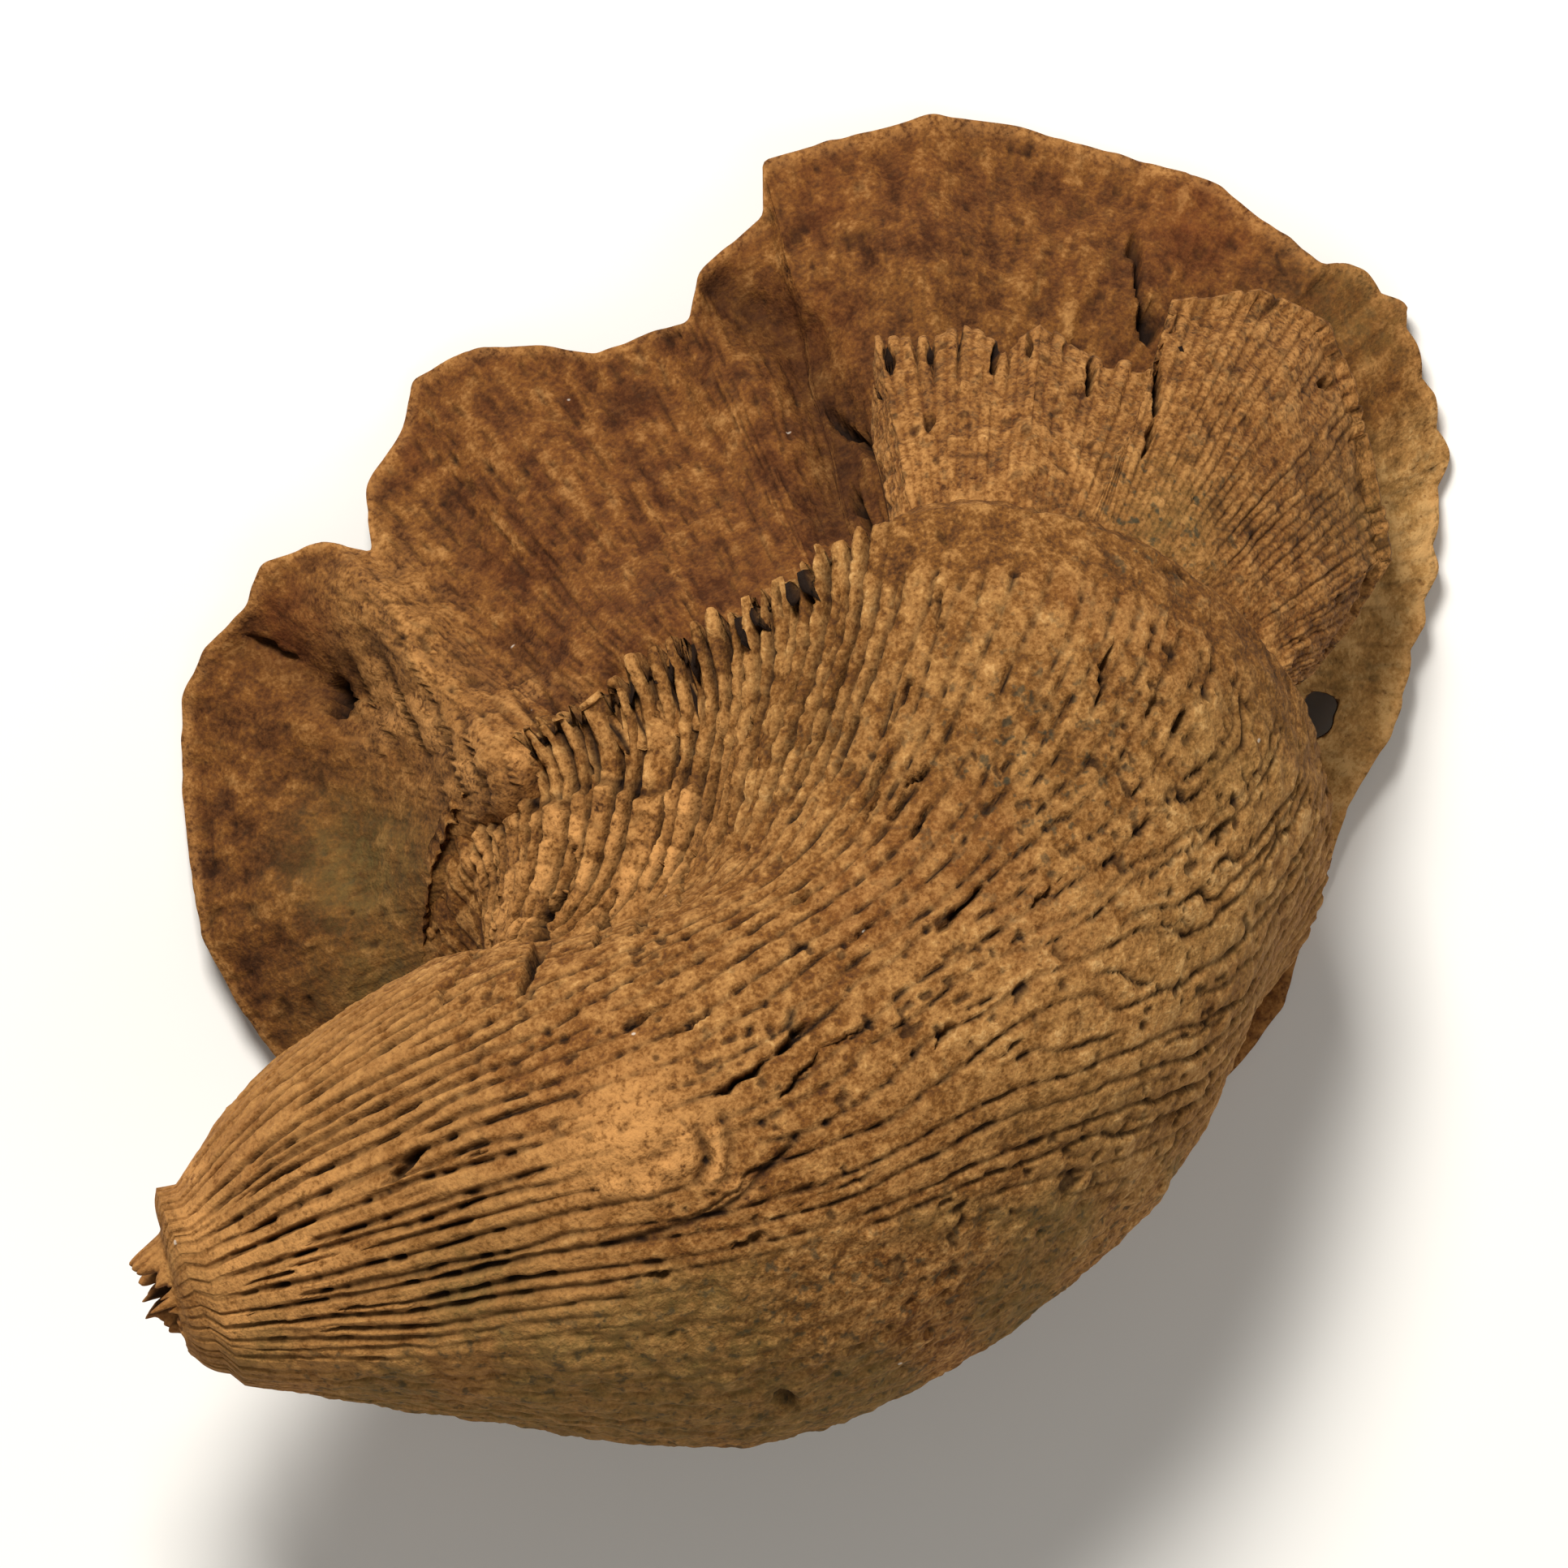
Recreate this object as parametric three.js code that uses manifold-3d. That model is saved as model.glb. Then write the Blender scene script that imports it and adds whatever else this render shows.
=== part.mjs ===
// Horn coral fossil: a stubby curved solitary coral that lies cup down, on the lobed rim of the cup.
// Millimetres, +Z up. X runs along the fossil, from its pointed root at -X to the far lobe of the cup at +X.
// The one skeleton grew in three stages, which are fused here: the ribbed horn with its flared lip, a ledge
// left by an older cup, and the last cup with its thin folded flange, whose hollow faces down.
import * as THREE from 'three';
import { mergeVertices } from 'three/addons/utils/BufferGeometryUtils.js';
import Module from 'manifold-3d';

const wasm = await Module();
wasm.setup();

const DEGREE = Math.PI / 180;

// The horn. Each station is a ring across it: its centre, how far its growth direction dips below the
// horizontal and turns towards +Y, in degrees, and its radii every 45 degrees, from the upper side
// round by the +Y flank.
const HORN_STATIONS = [
  { centre: [-29.2, -3.9, 17.0], dip: 0, turn: 0, radii: [2.4, 2.5, 2.5, 2.4, 2.4, 2.5, 2.6, 2.5] },
  { centre: [-27.2, -4.8, 17.2], dip: 1, turn: -4, radii: [4.2, 4.3, 4.3, 4.2, 4.1, 4.2, 4.3, 4.3] },
  { centre: [-21.6, -6.7, 17.4], dip: 6, turn: -5, radii: [7.8, 8.0, 8.0, 8.0, 7.6, 7.8, 7.9, 8.0] },
  { centre: [-13.6, -8.4, 16.6], dip: 16, turn: 6, radii: [11.8, 10.8, 9.8, 10.6, 10.6, 11.4, 12.0, 12.2] },
  { centre: [-5.0, -9.4, 14.2], dip: 38, turn: 36, radii: [14.4, 12.8, 9.4, 11.6, 12.6, 12.6, 13.4, 14.0] },
  { centre: [0.0, -6.4, 11.8], dip: 48, turn: 52, radii: [16.6, 15.6, 10.8, 12.8, 15.4, 14.4, 14.4, 14.4] },
  { centre: [2.0, -4.2, 10.2], dip: 53, turn: 58, radii: [16.6, 16.2, 12.6, 14.8, 18.6, 15.6, 14.6, 14.8] },
];
const HORN_RIBS = 48;
const HORN_STEPS = 19;
const RIB_DEPTH = 0.55;
const RIB_DEPTH_AT_ROOT = 0.35;
const RIB_PROUD_AT_LIP = 0.8;

// The lip stands free over the flange on the +Y flank, between these angles. Elsewhere the horn rounds in
// under its shoulder and runs on into the last cup.
const FREE_LIP = { from: 62, to: 172, ramp: 18, thickness: 1.3, recess: 2.4, inset: 1.5 };
const SHOULDER = { turnIn: [1.3, 4.6], runOn: [2.0, 4.6] };
const ROOT_SCAR = { depth: 1.6, wall: 0.8, spine: 0.7 };

// What sits on the horn or is worn into it, seen from above: a smooth lump, a coiled knob beside it, and
// pits along the ribs, each with its length, its width and the heading of its long way in degrees.
const LUMP = { at: [-11.6, -7.9], halfLength: 3.1, halfWidth: 2.5, rise: 1.0, heading: 0 };
const KNOB = { at: [-9.6, -9.4], radius: 1.0, thickness: 0.38 };
const PITS = [
  { at: [-19.1, -4.1], long: 1.9, wide: 0.9, heading: 10 },
  { at: [-12.0, -0.7], long: 3.2, wide: 0.8, heading: 40 },
  { at: [-9.7, -0.5], long: 2.6, wide: 0.8, heading: 45 },
  { at: [-14.9, 0.1], long: 2.6, wide: 0.7, heading: 35 },
  { at: [-5.2, -1.1], long: 1.8, wide: 0.6, heading: 60 },
  { at: [-7.3, -7.9], long: 3.6, wide: 0.6, heading: 8 },
  { at: [3.7, -2.6], long: 2.6, wide: 0.7, heading: 25 },
  { at: [8.1, 2.6], long: 1.9, wide: 0.7, heading: 60 },
];
const PIT_DEPTH = 0.9;

// The way from the sizes' own zero to the part's origin, in the middle of the fossil's footprint.
const PLACE = [0.7, 0.87, 0];

// The last cup. Its flange spreads from an oval neck to the rim. The rim is an outline, counter-clockwise
// from +X, of x, y and the lift of the rim's underside above the surface that the fossil lies on.
const NECK = { centre: [1.0, 0.0], halfLength: 12.0, halfWidth: 6.0, height: 12.4, tilt: 1.8 };
const CUP_RIM = [
  [28.5, 2.9, 0.6], [27.7, 5.4, 1.4], [26.6, 5.7, 2.0], [26.7, 6.4, 1.6], [25.1, 10.0, 0.2],
  [23.2, 12.6, -0.4], [20.0, 16.0, -0.5], [17.7, 18.0, 0.2], [13.3, 19.3, 1.0], [11.5, 19.9, 1.6],
  [10.4, 18.1, 2.2], [7.3, 17.6, 3.0], [6.0, 16.2, 3.4], [4.6, 16.7, 2.2], [2.5, 17.1, 2.4],
  [0.8, 18.6, 0.9], [-1.0, 19.6, 0.2], [-3.8, 19.9, -0.4], [-4.9, 18.5, 0.2], [-7.3, 17.5, 1.6],
  [-8.3, 15.2, 3.0], [-9.7, 16.5, 2.4], [-12.0, 16.9, 1.4], [-15.2, 15.7, 0.2], [-17.1, 14.1, -0.4],
  [-18.7, 12.3, -0.5], [-20.0, 9.5, 0.2], [-21.1, 6.7, 0.8], [-21.4, 4.0, 0.8], [-21.2, 1.5, 0.6],
  [-20.4, -3.0, 0.2], [-18.0, -8.0, -0.4], [-15.0, -12.5, -0.3], [-10.0, -16.6, 0.6], [-4.0, -18.4, 1.0],
  [2.0, -18.0, 0.2], [8.0, -16.8, -0.5], [13.2, -14.8, -0.4], [17.3, -11.6, 0.8], [20.1, -10.6, 1.2],
  [22.3, -8.1, 0.6], [25.2, -4.6, 0.0], [27.1, -2.6, -0.3],
];
const RIM_STEP = 4.8;
const FLANGE_SHARES = [0.12, 0.3, 0.46, 0.6, 0.74, 0.88, 1];
const FLANGE_THICKNESS = 1.1;
const FLANGE_FLARE = 1.25;
const FLANGE_RIB_DEPTH = 0.16;

// Radial folds of the flange: direction, half width, height above the plain flange, and where out they peak.
const FLANGE_FOLDS = [
  { angle: 137, width: 8, rise: 2.6, peak: 0.45 },
  { angle: 152, width: 8, rise: -1.4, peak: 0.5 },
  { angle: 172, width: 12, rise: 0.8, peak: 0.7 },
  { angle: 68, width: 6, rise: -2.2, peak: 0.3 },
  { angle: 82, width: 5, rise: -0.8, peak: 0.9 },
  { angle: 40, width: 16, rise: 1.4, peak: 0.7 },
  { angle: 106, width: 14, rise: 0.9, peak: 0.6 },
];

// The hollow of the cup, with its septa and the long pit between them.
const HOLLOW_WALL = 1.3;
const HOLLOW_FLOOR = 8.6;
const FOSSA_DEPTH = 2.6;
const HOLLOW_SHARES = [0, 0.3, 0.62, 0.9];
const SEPTUM_HEIGHT = 1.2;

// The ledge: ribs that fan out from the groove behind the horn's lip to the ledge's broken edge.
const LEDGE_RIBS = [
  { root: [8.0, 5.2, 16.2], tip: [9.4, 9.0, 13.2] },
  { root: [8.8, 4.9, 17.0], tip: [11.4, 11.9, 11.8] },
  { root: [10.0, 4.5, 17.5], tip: [14.1, 10.9, 11.4] },
  { root: [11.2, 3.9, 17.8], tip: [15.2, 9.3, 11.6] },
  { root: [12.2, 3.2, 17.8], tip: [16.9, 9.3, 11.0] },
  { root: [13.2, 2.4, 17.6], tip: [17.4, 6.6, 11.6] },
  { root: [13.8, 1.8, 17.4], tip: [18.6, 5.2, 11.4] },
  { root: [14.3, 1.2, 17.3], tip: [20.9, 7.7, 9.4] },
  { root: [15.0, 0.4, 17.0], tip: [24.4, 6.1, 7.2] },
  { root: [15.6, -0.6, 16.7], tip: [26.2, 4.1, 6.0] },
  { root: [16.2, -1.8, 16.3], tip: [26.3, 1.2, 5.6] },
  { root: [16.8, -3.4, 15.8], tip: [24.2, -1.8, 6.4] },
  { root: [17.2, -4.8, 15.2], tip: [23.6, -4.0, 6.6] },
  { root: [17.4, -6.0, 14.8], tip: [20.6, -5.8, 8.8] },
  { root: [17.3, -6.8, 14.4], tip: [18.3, -6.9, 11.8] },
];
const LEDGE_SHARES = [0, 0.3, 0.6, 0.85, 1];
const LEDGE_COLUMNS = 48;
const LEDGE_THICKNESS = 1.1;
const LEDGE_RIB_DEPTH = 0.3;
const LEDGE_TOOTH = 0.5;

// The one hole that goes through the flange, beside the horn.
const FLANGE_HOLE = { at: [18.0, -8.2], radius: 0.75 };

const COLOUR = new THREE.Color(0.55, 0.37, 0.2);

const clamp = (value, low, high) => Math.min(Math.max(value, low), high);
const mix = (a, b, share) => a + (b - a) * share;
const mixPoints = (a, b, share) => a.map((value, axis) => mix(value, b[axis], share));

// One number of a smooth curve through four neighbours.
function curve(before, start, end, after, share) {
  const square = share * share;
  const cube = square * share;
  const bend = 2 * before - 5 * start + 4 * end - after;
  const twist = -before + 3 * start - 3 * end + after;
  return 0.5 * (2 * start + (end - before) * share + bend * square + twist * cube);
}

// Radius at an angle, from radii at equal steps round a ring.
function radiusAround(radii, angle) {
  const count = radii.length;
  const place = ((((angle / 360) % 1) + 1) % 1) * count;
  const index = Math.floor(place);
  const at = (step) => radii[(index + step + count) % count];
  return curve(at(-1), at(0), at(1), at(2), place - index);
}

// The horn's ring at a share of the way from root to lip.
function hornRing(share) {
  const last = HORN_STATIONS.length - 1;
  const place = clamp(share, 0, 1) * last;
  const index = Math.min(Math.floor(place), last - 1);
  const station = (step) => HORN_STATIONS[clamp(index + step, 0, last)];
  const smooth = (read) =>
    curve(read(station(-1)), read(station(0)), read(station(1)), read(station(2)), place - index);
  const dip = smooth((s) => s.dip) * DEGREE;
  const turn = smooth((s) => s.turn) * DEGREE;
  const growth = new THREE.Vector3(
    Math.cos(dip) * Math.cos(turn),
    Math.cos(dip) * Math.sin(turn),
    -Math.sin(dip),
  );
  const swing = new THREE.Quaternion().setFromUnitVectors(new THREE.Vector3(0, 0, -1), growth);
  return {
    centre: new THREE.Vector3(...[0, 1, 2].map((axis) => smooth((s) => s.centre[axis]))),
    growth,
    up: new THREE.Vector3(1, 0, 0).applyQuaternion(swing),
    side: new THREE.Vector3(0, 1, 0).applyQuaternion(swing),
    radii: HORN_STATIONS[0].radii.map((_, k) => smooth((s) => s.radii[k])),
  };
}

// A point at an angle on a ring, moved out by proud and on along the growth direction by ahead.
function onRing(ring, angle, proud, ahead) {
  const radius = radiusAround(ring.radii, angle) + proud;
  return ring.centre
    .clone()
    .addScaledVector(ring.up, radius * Math.cos(angle * DEGREE))
    .addScaledVector(ring.side, radius * Math.sin(angle * DEGREE))
    .addScaledVector(ring.growth, ahead);
}

// A closed skin: rings of points, each a closed loop, between a first and a last point.
function skin(first, rings, last) {
  const columns = rings[0].length;
  const points = [first, ...rings.flat(), last];
  const end = points.length - 1;
  const at = (ring, column) => 1 + ring * columns + (column % columns);
  const faces = [];
  for (let column = 0; column < columns; column++) {
    faces.push(0, at(0, column), at(0, column + 1));
    faces.push(end, at(rings.length - 1, column + 1), at(rings.length - 1, column));
    for (let ring = 0; ring + 1 < rings.length; ring++) {
      faces.push(at(ring, column), at(ring + 1, column), at(ring + 1, column + 1));
      faces.push(at(ring, column), at(ring + 1, column + 1), at(ring, column + 1));
    }
  }
  return new THREE.BufferGeometry().setFromPoints(points).setIndex(faces);
}

function solidOf(geometry) {
  const bare = geometry.clone();
  bare.deleteAttribute('normal');
  bare.deleteAttribute('uv');
  const merged = mergeVertices(bare, 1e-4);
  return new wasm.Manifold(
    new wasm.Mesh({
      numProp: 3,
      vertProperties: new Float32Array(merged.attributes.position.array),
      triVerts: new Uint32Array(merged.index.array),
    }),
  );
}

// How free the lip is at an angle, from 0 to 1.
function lipFreedom(angle) {
  const { from, to, ramp } = FREE_LIP;
  return clamp(Math.min(angle - from, to - angle) / ramp + 0.5, 0, 1);
}

function hornGeometry() {
  const isRib = (k) => k % 2 === 0;
  const free = (k) => lipFreedom((k * 180) / HORN_RIBS);
  const ring = (share, proud, ahead) => {
    const frame = hornRing(share);
    return Array.from({ length: HORN_RIBS * 2 }, (_, k) =>
      onRing(frame, (k * 180) / HORN_RIBS, proud(k), ahead(k)),
    );
  };
  const { depth: scar, wall, spine } = ROOT_SCAR;
  const rings = [
    ring(0, () => -wall - 0.5, () => scar / 2),
    ring(0, (k) => (isRib(k) ? -wall / 3 : -wall), (k) => (isRib(k) ? -spine : spine)),
  ];
  for (let step = 1; step <= HORN_STEPS; step++) {
    const share = step / HORN_STEPS;
    const depth = mix(RIB_DEPTH_AT_ROOT, RIB_DEPTH, Math.min(share * 3, 1));
    const ahead = step === HORN_STEPS ? RIB_PROUD_AT_LIP : 0;
    rings.push(ring(share, (k) => (isRib(k) ? 0 : -depth), (k) => (isRib(k) ? ahead * free(k) : 0)));
  }
  const { thickness, recess, inset } = FREE_LIP;
  const { turnIn, runOn } = SHOULDER;
  const behind = thickness + inset;
  rings.push(ring(1, (k) => -mix(turnIn[0], thickness, free(k)), (k) => mix(runOn[0], 0, free(k))));
  rings.push(ring(1, (k) => -mix(turnIn[1], behind, free(k)), (k) => mix(runOn[1], -recess, free(k))));
  const root = hornRing(0);
  const lip = hornRing(1);
  const first = root.centre.clone().addScaledVector(root.growth, scar);
  const last = lip.centre.clone().addScaledVector(lip.growth, runOn[1]);
  return skin(first, rings, last);
}

// Puts a shape on the horn's upper surface: the point there under a place seen from above.
function onHorn(horn, [x, y], depth) {
  const ray = new THREE.Raycaster(new THREE.Vector3(x, y, 60), new THREE.Vector3(0, 0, -1));
  const [hit] = ray.intersectObject(new THREE.Mesh(horn));
  return new THREE.Vector3(x, y, hit.point.z - depth);
}

function lumpSolid(horn) {
  const { at, halfLength, halfWidth, rise, heading } = LUMP;
  const sphere = new THREE.SphereGeometry(1, 14, 8);
  sphere.rotateX(Math.PI / 2);
  sphere.scale(halfLength, halfWidth, rise * 2);
  sphere.rotateZ(heading * DEGREE);
  sphere.translate(...onHorn(horn, at, rise));
  return solidOf(sphere);
}

function knobSolid(horn) {
  const ring = new THREE.TorusGeometry(KNOB.radius, KNOB.thickness, 6, 14);
  ring.translate(...onHorn(horn, KNOB.at, 0));
  return solidOf(ring);
}

function pitSolid(horn, { at, long, wide, heading }) {
  const sphere = new THREE.SphereGeometry(1, 8, 6);
  sphere.scale(long / 2, wide / 2, PIT_DEPTH);
  sphere.rotateZ(heading * DEGREE);
  sphere.translate(...onHorn(horn, at, 0.1));
  return solidOf(sphere);
}

const turnBetween = (a, b) => ((((a - b + 180) % 360) + 360) % 360) - 180;

// The rim's points, each with its direction from the middle of the neck, in growing order, and with
// points added on the long stretches.
function rimPoints() {
  const direction = ([x, y]) => (Math.atan2(y - NECK.centre[1], x - NECK.centre[0]) / DEGREE + 360) % 360;
  const corners = CUP_RIM.map((point) => ({ point, angle: direction(point) }));
  corners.sort((a, b) => a.angle - b.angle);
  return corners.flatMap((corner, k) => {
    const next = corners[(k + 1) % corners.length];
    const span = (next.angle - corner.angle + 360) % 360;
    const pieces = Math.max(1, Math.round(span / RIM_STEP));
    return Array.from({ length: pieces }, (_, piece) => {
      const point = mixPoints(corner.point, next.point, piece / pieces);
      return { point, angle: corner.angle + (span * piece) / pieces };
    });
  });
}

const neckPoint = (angle, share) => [
  NECK.centre[0] + NECK.halfLength * share * Math.cos(angle * DEGREE),
  NECK.centre[1] + NECK.halfWidth * share * Math.sin(angle * DEGREE),
];

const neckHeight = (angle) => NECK.height + NECK.tilt * Math.cos((angle - 45) * DEGREE);

function foldRise(angle, share) {
  return FLANGE_FOLDS.reduce((sum, { angle: middle, width, rise, peak }) => {
    const across = Math.exp(-((turnBetween(angle, middle) / width) ** 2));
    const along = Math.exp(-(((share - peak) / 0.35) ** 2));
    return sum + rise * across * along;
  }, 0);
}

// Height of the flange's outer face at a share of the way from the neck to the rim.
function flangeHeight({ point, angle }, share) {
  const rim = point[2] + FLANGE_THICKNESS;
  const plain = mix(rim, neckHeight(angle), (1 - share) ** FLANGE_FLARE);
  return plain + foldRise(angle, share);
}

function flangePoint(rimPoint, share, height, inset = 0) {
  const [x, y] = neckPoint(rimPoint.angle, 1);
  const dx = rimPoint.point[0] - x;
  const dy = rimPoint.point[1] - y;
  const reach = share - inset / Math.hypot(dx, dy);
  return new THREE.Vector3(x + dx * reach, y + dy * reach, height);
}

const insideNeck = (angle, share, height) => new THREE.Vector3(...neckPoint(angle, share), height);

function cupSolid(rim) {
  const rings = FLANGE_SHARES.map((share) =>
    rim.map((edge, k) => {
      const rib = k % 2 === 0 ? 0 : FLANGE_RIB_DEPTH;
      return flangePoint(edge, share, flangeHeight(edge, share) - rib);
    }),
  );
  rings.push(rim.map((edge) => flangePoint(edge, 1, edge.point[2], 0.3)));
  rings.push(rim.map((edge) => flangePoint(edge, 1, Math.min(edge.point[2], 0) - 1, 1.6)));
  return solidOf(skin(insideNeck(0, 0, NECK.height), rings, insideNeck(0, 0, -1)));
}

function hollowSolid(rim) {
  const septum = (k, share) => (k % 2 === 0 ? SEPTUM_HEIGHT * Math.sin(Math.PI * clamp(share, 0, 1)) : 0);
  const inner = rim.map(({ angle }, k) => insideNeck(angle, 0.5, HOLLOW_FLOOR - septum(k, 0.25)));
  const outer = HOLLOW_SHARES.map((share) =>
    rim.map((edge, k) => {
      const roof = flangeHeight(edge, share) - FLANGE_THICKNESS - HOLLOW_WALL * (1 - share);
      return flangePoint(edge, share, Math.min(roof, HOLLOW_FLOOR) - septum(k, 0.35 + share * 0.65));
    }),
  );
  const mouth = [
    rim.map((edge) => flangePoint(edge, 1, edge.point[2] - 0.1, 0.7)),
    rim.map((edge) => flangePoint(edge, 1, -4, -0.7)),
  ];
  const top = insideNeck(0, 0, HOLLOW_FLOOR + FOSSA_DEPTH);
  return solidOf(skin(top, [inner, ...outer, ...mouth], insideNeck(0, 0, -4)));
}

// The ledge's rib at a share of the way round its fan.
function ledgeRib(share) {
  const place = share * (LEDGE_RIBS.length - 1);
  const index = Math.min(Math.floor(place), LEDGE_RIBS.length - 2);
  const [a, b] = [LEDGE_RIBS[index], LEDGE_RIBS[index + 1]];
  return { root: mixPoints(a.root, b.root, place - index), tip: mixPoints(a.tip, b.tip, place - index) };
}

// The ledge as one closed loop of points across each rib: out along its top and back along its underside.
function ledgeSolid() {
  const loops = Array.from({ length: LEDGE_COLUMNS + 1 }, (_, k) => {
    const { root, tip } = ledgeRib(k / LEDGE_COLUMNS);
    const isRib = k % 2 === 0;
    const tooth = isRib ? 1 : 1 - LEDGE_TOOTH / Math.hypot(tip[0] - root[0], tip[1] - root[1]);
    const at = (share, drop) => {
      const [x, y] = mixPoints(root, tip, share * tooth);
      const height = mix(root[2], tip[2], share ** 1.35);
      return new THREE.Vector3(x, y, height - drop);
    };
    const top = LEDGE_SHARES.map((share) => at(share, isRib ? 0 : LEDGE_RIB_DEPTH));
    const under = [at(1, LEDGE_THICKNESS), at(0.75, LEDGE_THICKNESS + 0.8), at(0, 5)];
    return [...top, ...under];
  });
  const middle = (loop) => {
    const sum = loop.reduce((total, point) => total.add(point), new THREE.Vector3());
    return sum.divideScalar(loop.length);
  };
  return solidOf(skin(middle(loops[0]), loops, middle(loops[LEDGE_COLUMNS])));
}

function flangeHoleSolid() {
  const { at, radius } = FLANGE_HOLE;
  const drill = new THREE.CylinderGeometry(radius, radius, 12, 8);
  drill.rotateX(Math.PI / 2);
  drill.translate(at[0], at[1], 2);
  return solidOf(drill);
}

function floorCut() {
  const block = new THREE.BoxGeometry(90, 90, 20);
  block.translate(0, 0, -10);
  return solidOf(block);
}

function coralSolid() {
  const rim = rimPoints();
  const horn = hornGeometry();
  const grown = [cupSolid(rim), ledgeSolid(), lumpSolid(horn), knobSolid(horn)];
  const worn = [hollowSolid(rim), flangeHoleSolid(), floorCut(), ...PITS.map((pit) => pitSolid(horn, pit))];
  const whole = grown.reduce((solid, part) => solid.add(part), solidOf(horn));
  return worn.reduce((solid, cut) => solid.subtract(cut), whole);
}

function meshOf(name, solid, material) {
  const data = solid.getMesh();
  const geometry = new THREE.BufferGeometry();
  geometry.setAttribute('position', new THREE.BufferAttribute(data.vertProperties, 3));
  geometry.setIndex(new THREE.BufferAttribute(data.triVerts, 1));
  geometry.computeVertexNormals();
  const mesh = new THREE.Mesh(geometry, material);
  mesh.name = name;
  return mesh;
}

const stone = new THREE.MeshStandardMaterial({ color: COLOUR, roughness: 0.85, metalness: 0 });
const group = new THREE.Group();
const coral = meshOf('horn_coral', coralSolid(), stone);
coral.position.set(...PLACE);
group.add(coral);

export default group;
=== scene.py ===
"""Looks of the horn coral fossil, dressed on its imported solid.

The one skeleton is dressed as the stages that it grew in, which run into each other as they do in the solid:
the ribbed horn with its flared lip, the ledge left by an older cup, and the last cup with its folded flange.
Sizes are in millimetres from the fossil's own zero, which lies at PLACE in the frame, and the meshes are in
metres in the frame. All roughness comes from hashed noise. The number that ends each call to grain, hashed,
chance_of, furrows, blocks or find_ribs picks that call's own noise.
"""

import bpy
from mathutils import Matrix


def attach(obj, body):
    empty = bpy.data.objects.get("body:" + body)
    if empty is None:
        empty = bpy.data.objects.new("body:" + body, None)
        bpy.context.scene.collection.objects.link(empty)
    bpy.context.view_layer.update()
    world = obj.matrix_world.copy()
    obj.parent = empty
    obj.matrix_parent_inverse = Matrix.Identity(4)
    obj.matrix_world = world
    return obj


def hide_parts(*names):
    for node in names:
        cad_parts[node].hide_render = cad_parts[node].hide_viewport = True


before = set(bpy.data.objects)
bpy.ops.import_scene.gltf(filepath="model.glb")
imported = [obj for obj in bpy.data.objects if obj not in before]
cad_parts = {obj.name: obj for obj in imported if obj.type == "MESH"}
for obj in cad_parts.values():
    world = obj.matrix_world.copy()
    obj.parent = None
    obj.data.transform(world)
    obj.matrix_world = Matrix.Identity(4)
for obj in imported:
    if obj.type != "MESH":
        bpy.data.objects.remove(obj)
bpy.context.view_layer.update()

import itertools
import logging
import math
from dataclasses import dataclass, field
from enum import Enum
from typing import Union

import bpy
import numpy as np
from mathutils import Matrix, Vector

Array = np.ndarray
Number = Union[float, "Link"]

LOG = logging.getLogger("horn_coral")
MM = 0.001
PLACE = np.array([0.7, 0.87, 0.0])
NODE = "horn_coral"
BODY = "root"
HASH_MASK = np.uint64(0xFFFFFFFF)
HASH_START = 2654435761
HASH_SPREAD = np.uint64(2246822519)
HASH_SHIFTS = (np.uint64(15), np.uint64(13))
HASH_PRIMES = (73856093, 19349663, 83492791)

# The level, below the floor, that the cutters reach down to.
CUTTERS_END = -4.0

# A Mix node has sockets of their own for numbers, vectors and colours. These are the ones for colours.
MIX_SHARE, MIX_BASE, MIX_OVER, MIX_COLOUR = 0, 6, 7, 2

# Furrows come in ranks: each rank's step and first number in the finest ribs, and how far its furrows stray.
FURROW_RANKS = ((8.0, 0.0, 0.9), (8.0, 4.0, 0.9), (4.0, 2.0, 0.45), (2.0, 1.0, 0.2))


# ---- numbers ----


def ramp(value: Array, start: float, end: float) -> Array:
    """Rises smoothly from 0 at start to 1 at end, which may be the lower of the two."""
    share = np.clip((value - start) / (end - start), 0.0, 1.0)
    return share * share * (3.0 - 2.0 * share)


def bell(distance: Array, width: float) -> Array:
    """Falls from 1 at no distance, past a third at width, to 0."""
    return np.exp(-np.square(distance / width))


def mix(start: Array, end: Array, share: Array) -> Array:
    """The value at a share of the way from start to end."""
    return start + (end - start) * share


def hashed(cells: Array, seed: int) -> Array:
    """Gives each whole-numbered cell a chance number of its own.

    Args:
        cells: Whole numbers, whose last axis is a cell's place.
        seed: Which set of chance numbers.

    Returns:
        A number from 0 to 1 for each cell.
    """
    mixed = np.full(cells.shape[:-1], np.uint64(seed * HASH_START % 2**32))
    for axis in range(cells.shape[-1]):
        prime = np.uint64(HASH_PRIMES[axis])
        mixed = (mixed ^ (cells[..., axis].astype(np.int64).astype(np.uint64) * prime)) & HASH_MASK
        mixed = ((mixed ^ (mixed >> HASH_SHIFTS[0])) * HASH_SPREAD) & HASH_MASK
    mixed = mixed ^ (mixed >> HASH_SHIFTS[1])
    return mixed.astype(float) / 2.0**32


def chance_of(number: Array, seed: int) -> Array:
    """A chance number from 0 to 1 for each rib, furrow or other numbered thing."""
    return hashed(number[..., None].astype(np.int64), seed)


def beside(*parts: Array) -> Array:
    """Coordinates put side by side on a new last axis."""
    return np.stack(np.broadcast_arrays(*parts), axis=-1)


def heading(dip: Array, turn: Array) -> Array:
    """The direction that dips so far below level and turns so far from +X, both in degrees."""
    dip, turn = np.radians(dip), np.radians(turn)
    return beside(np.cos(dip) * np.cos(turn), np.cos(dip) * np.sin(turn), -np.sin(dip))


def unit(vectors: Array) -> Array:
    """Vectors made one long."""
    return vectors / np.linalg.norm(vectors, axis=-1, keepdims=True)


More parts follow.
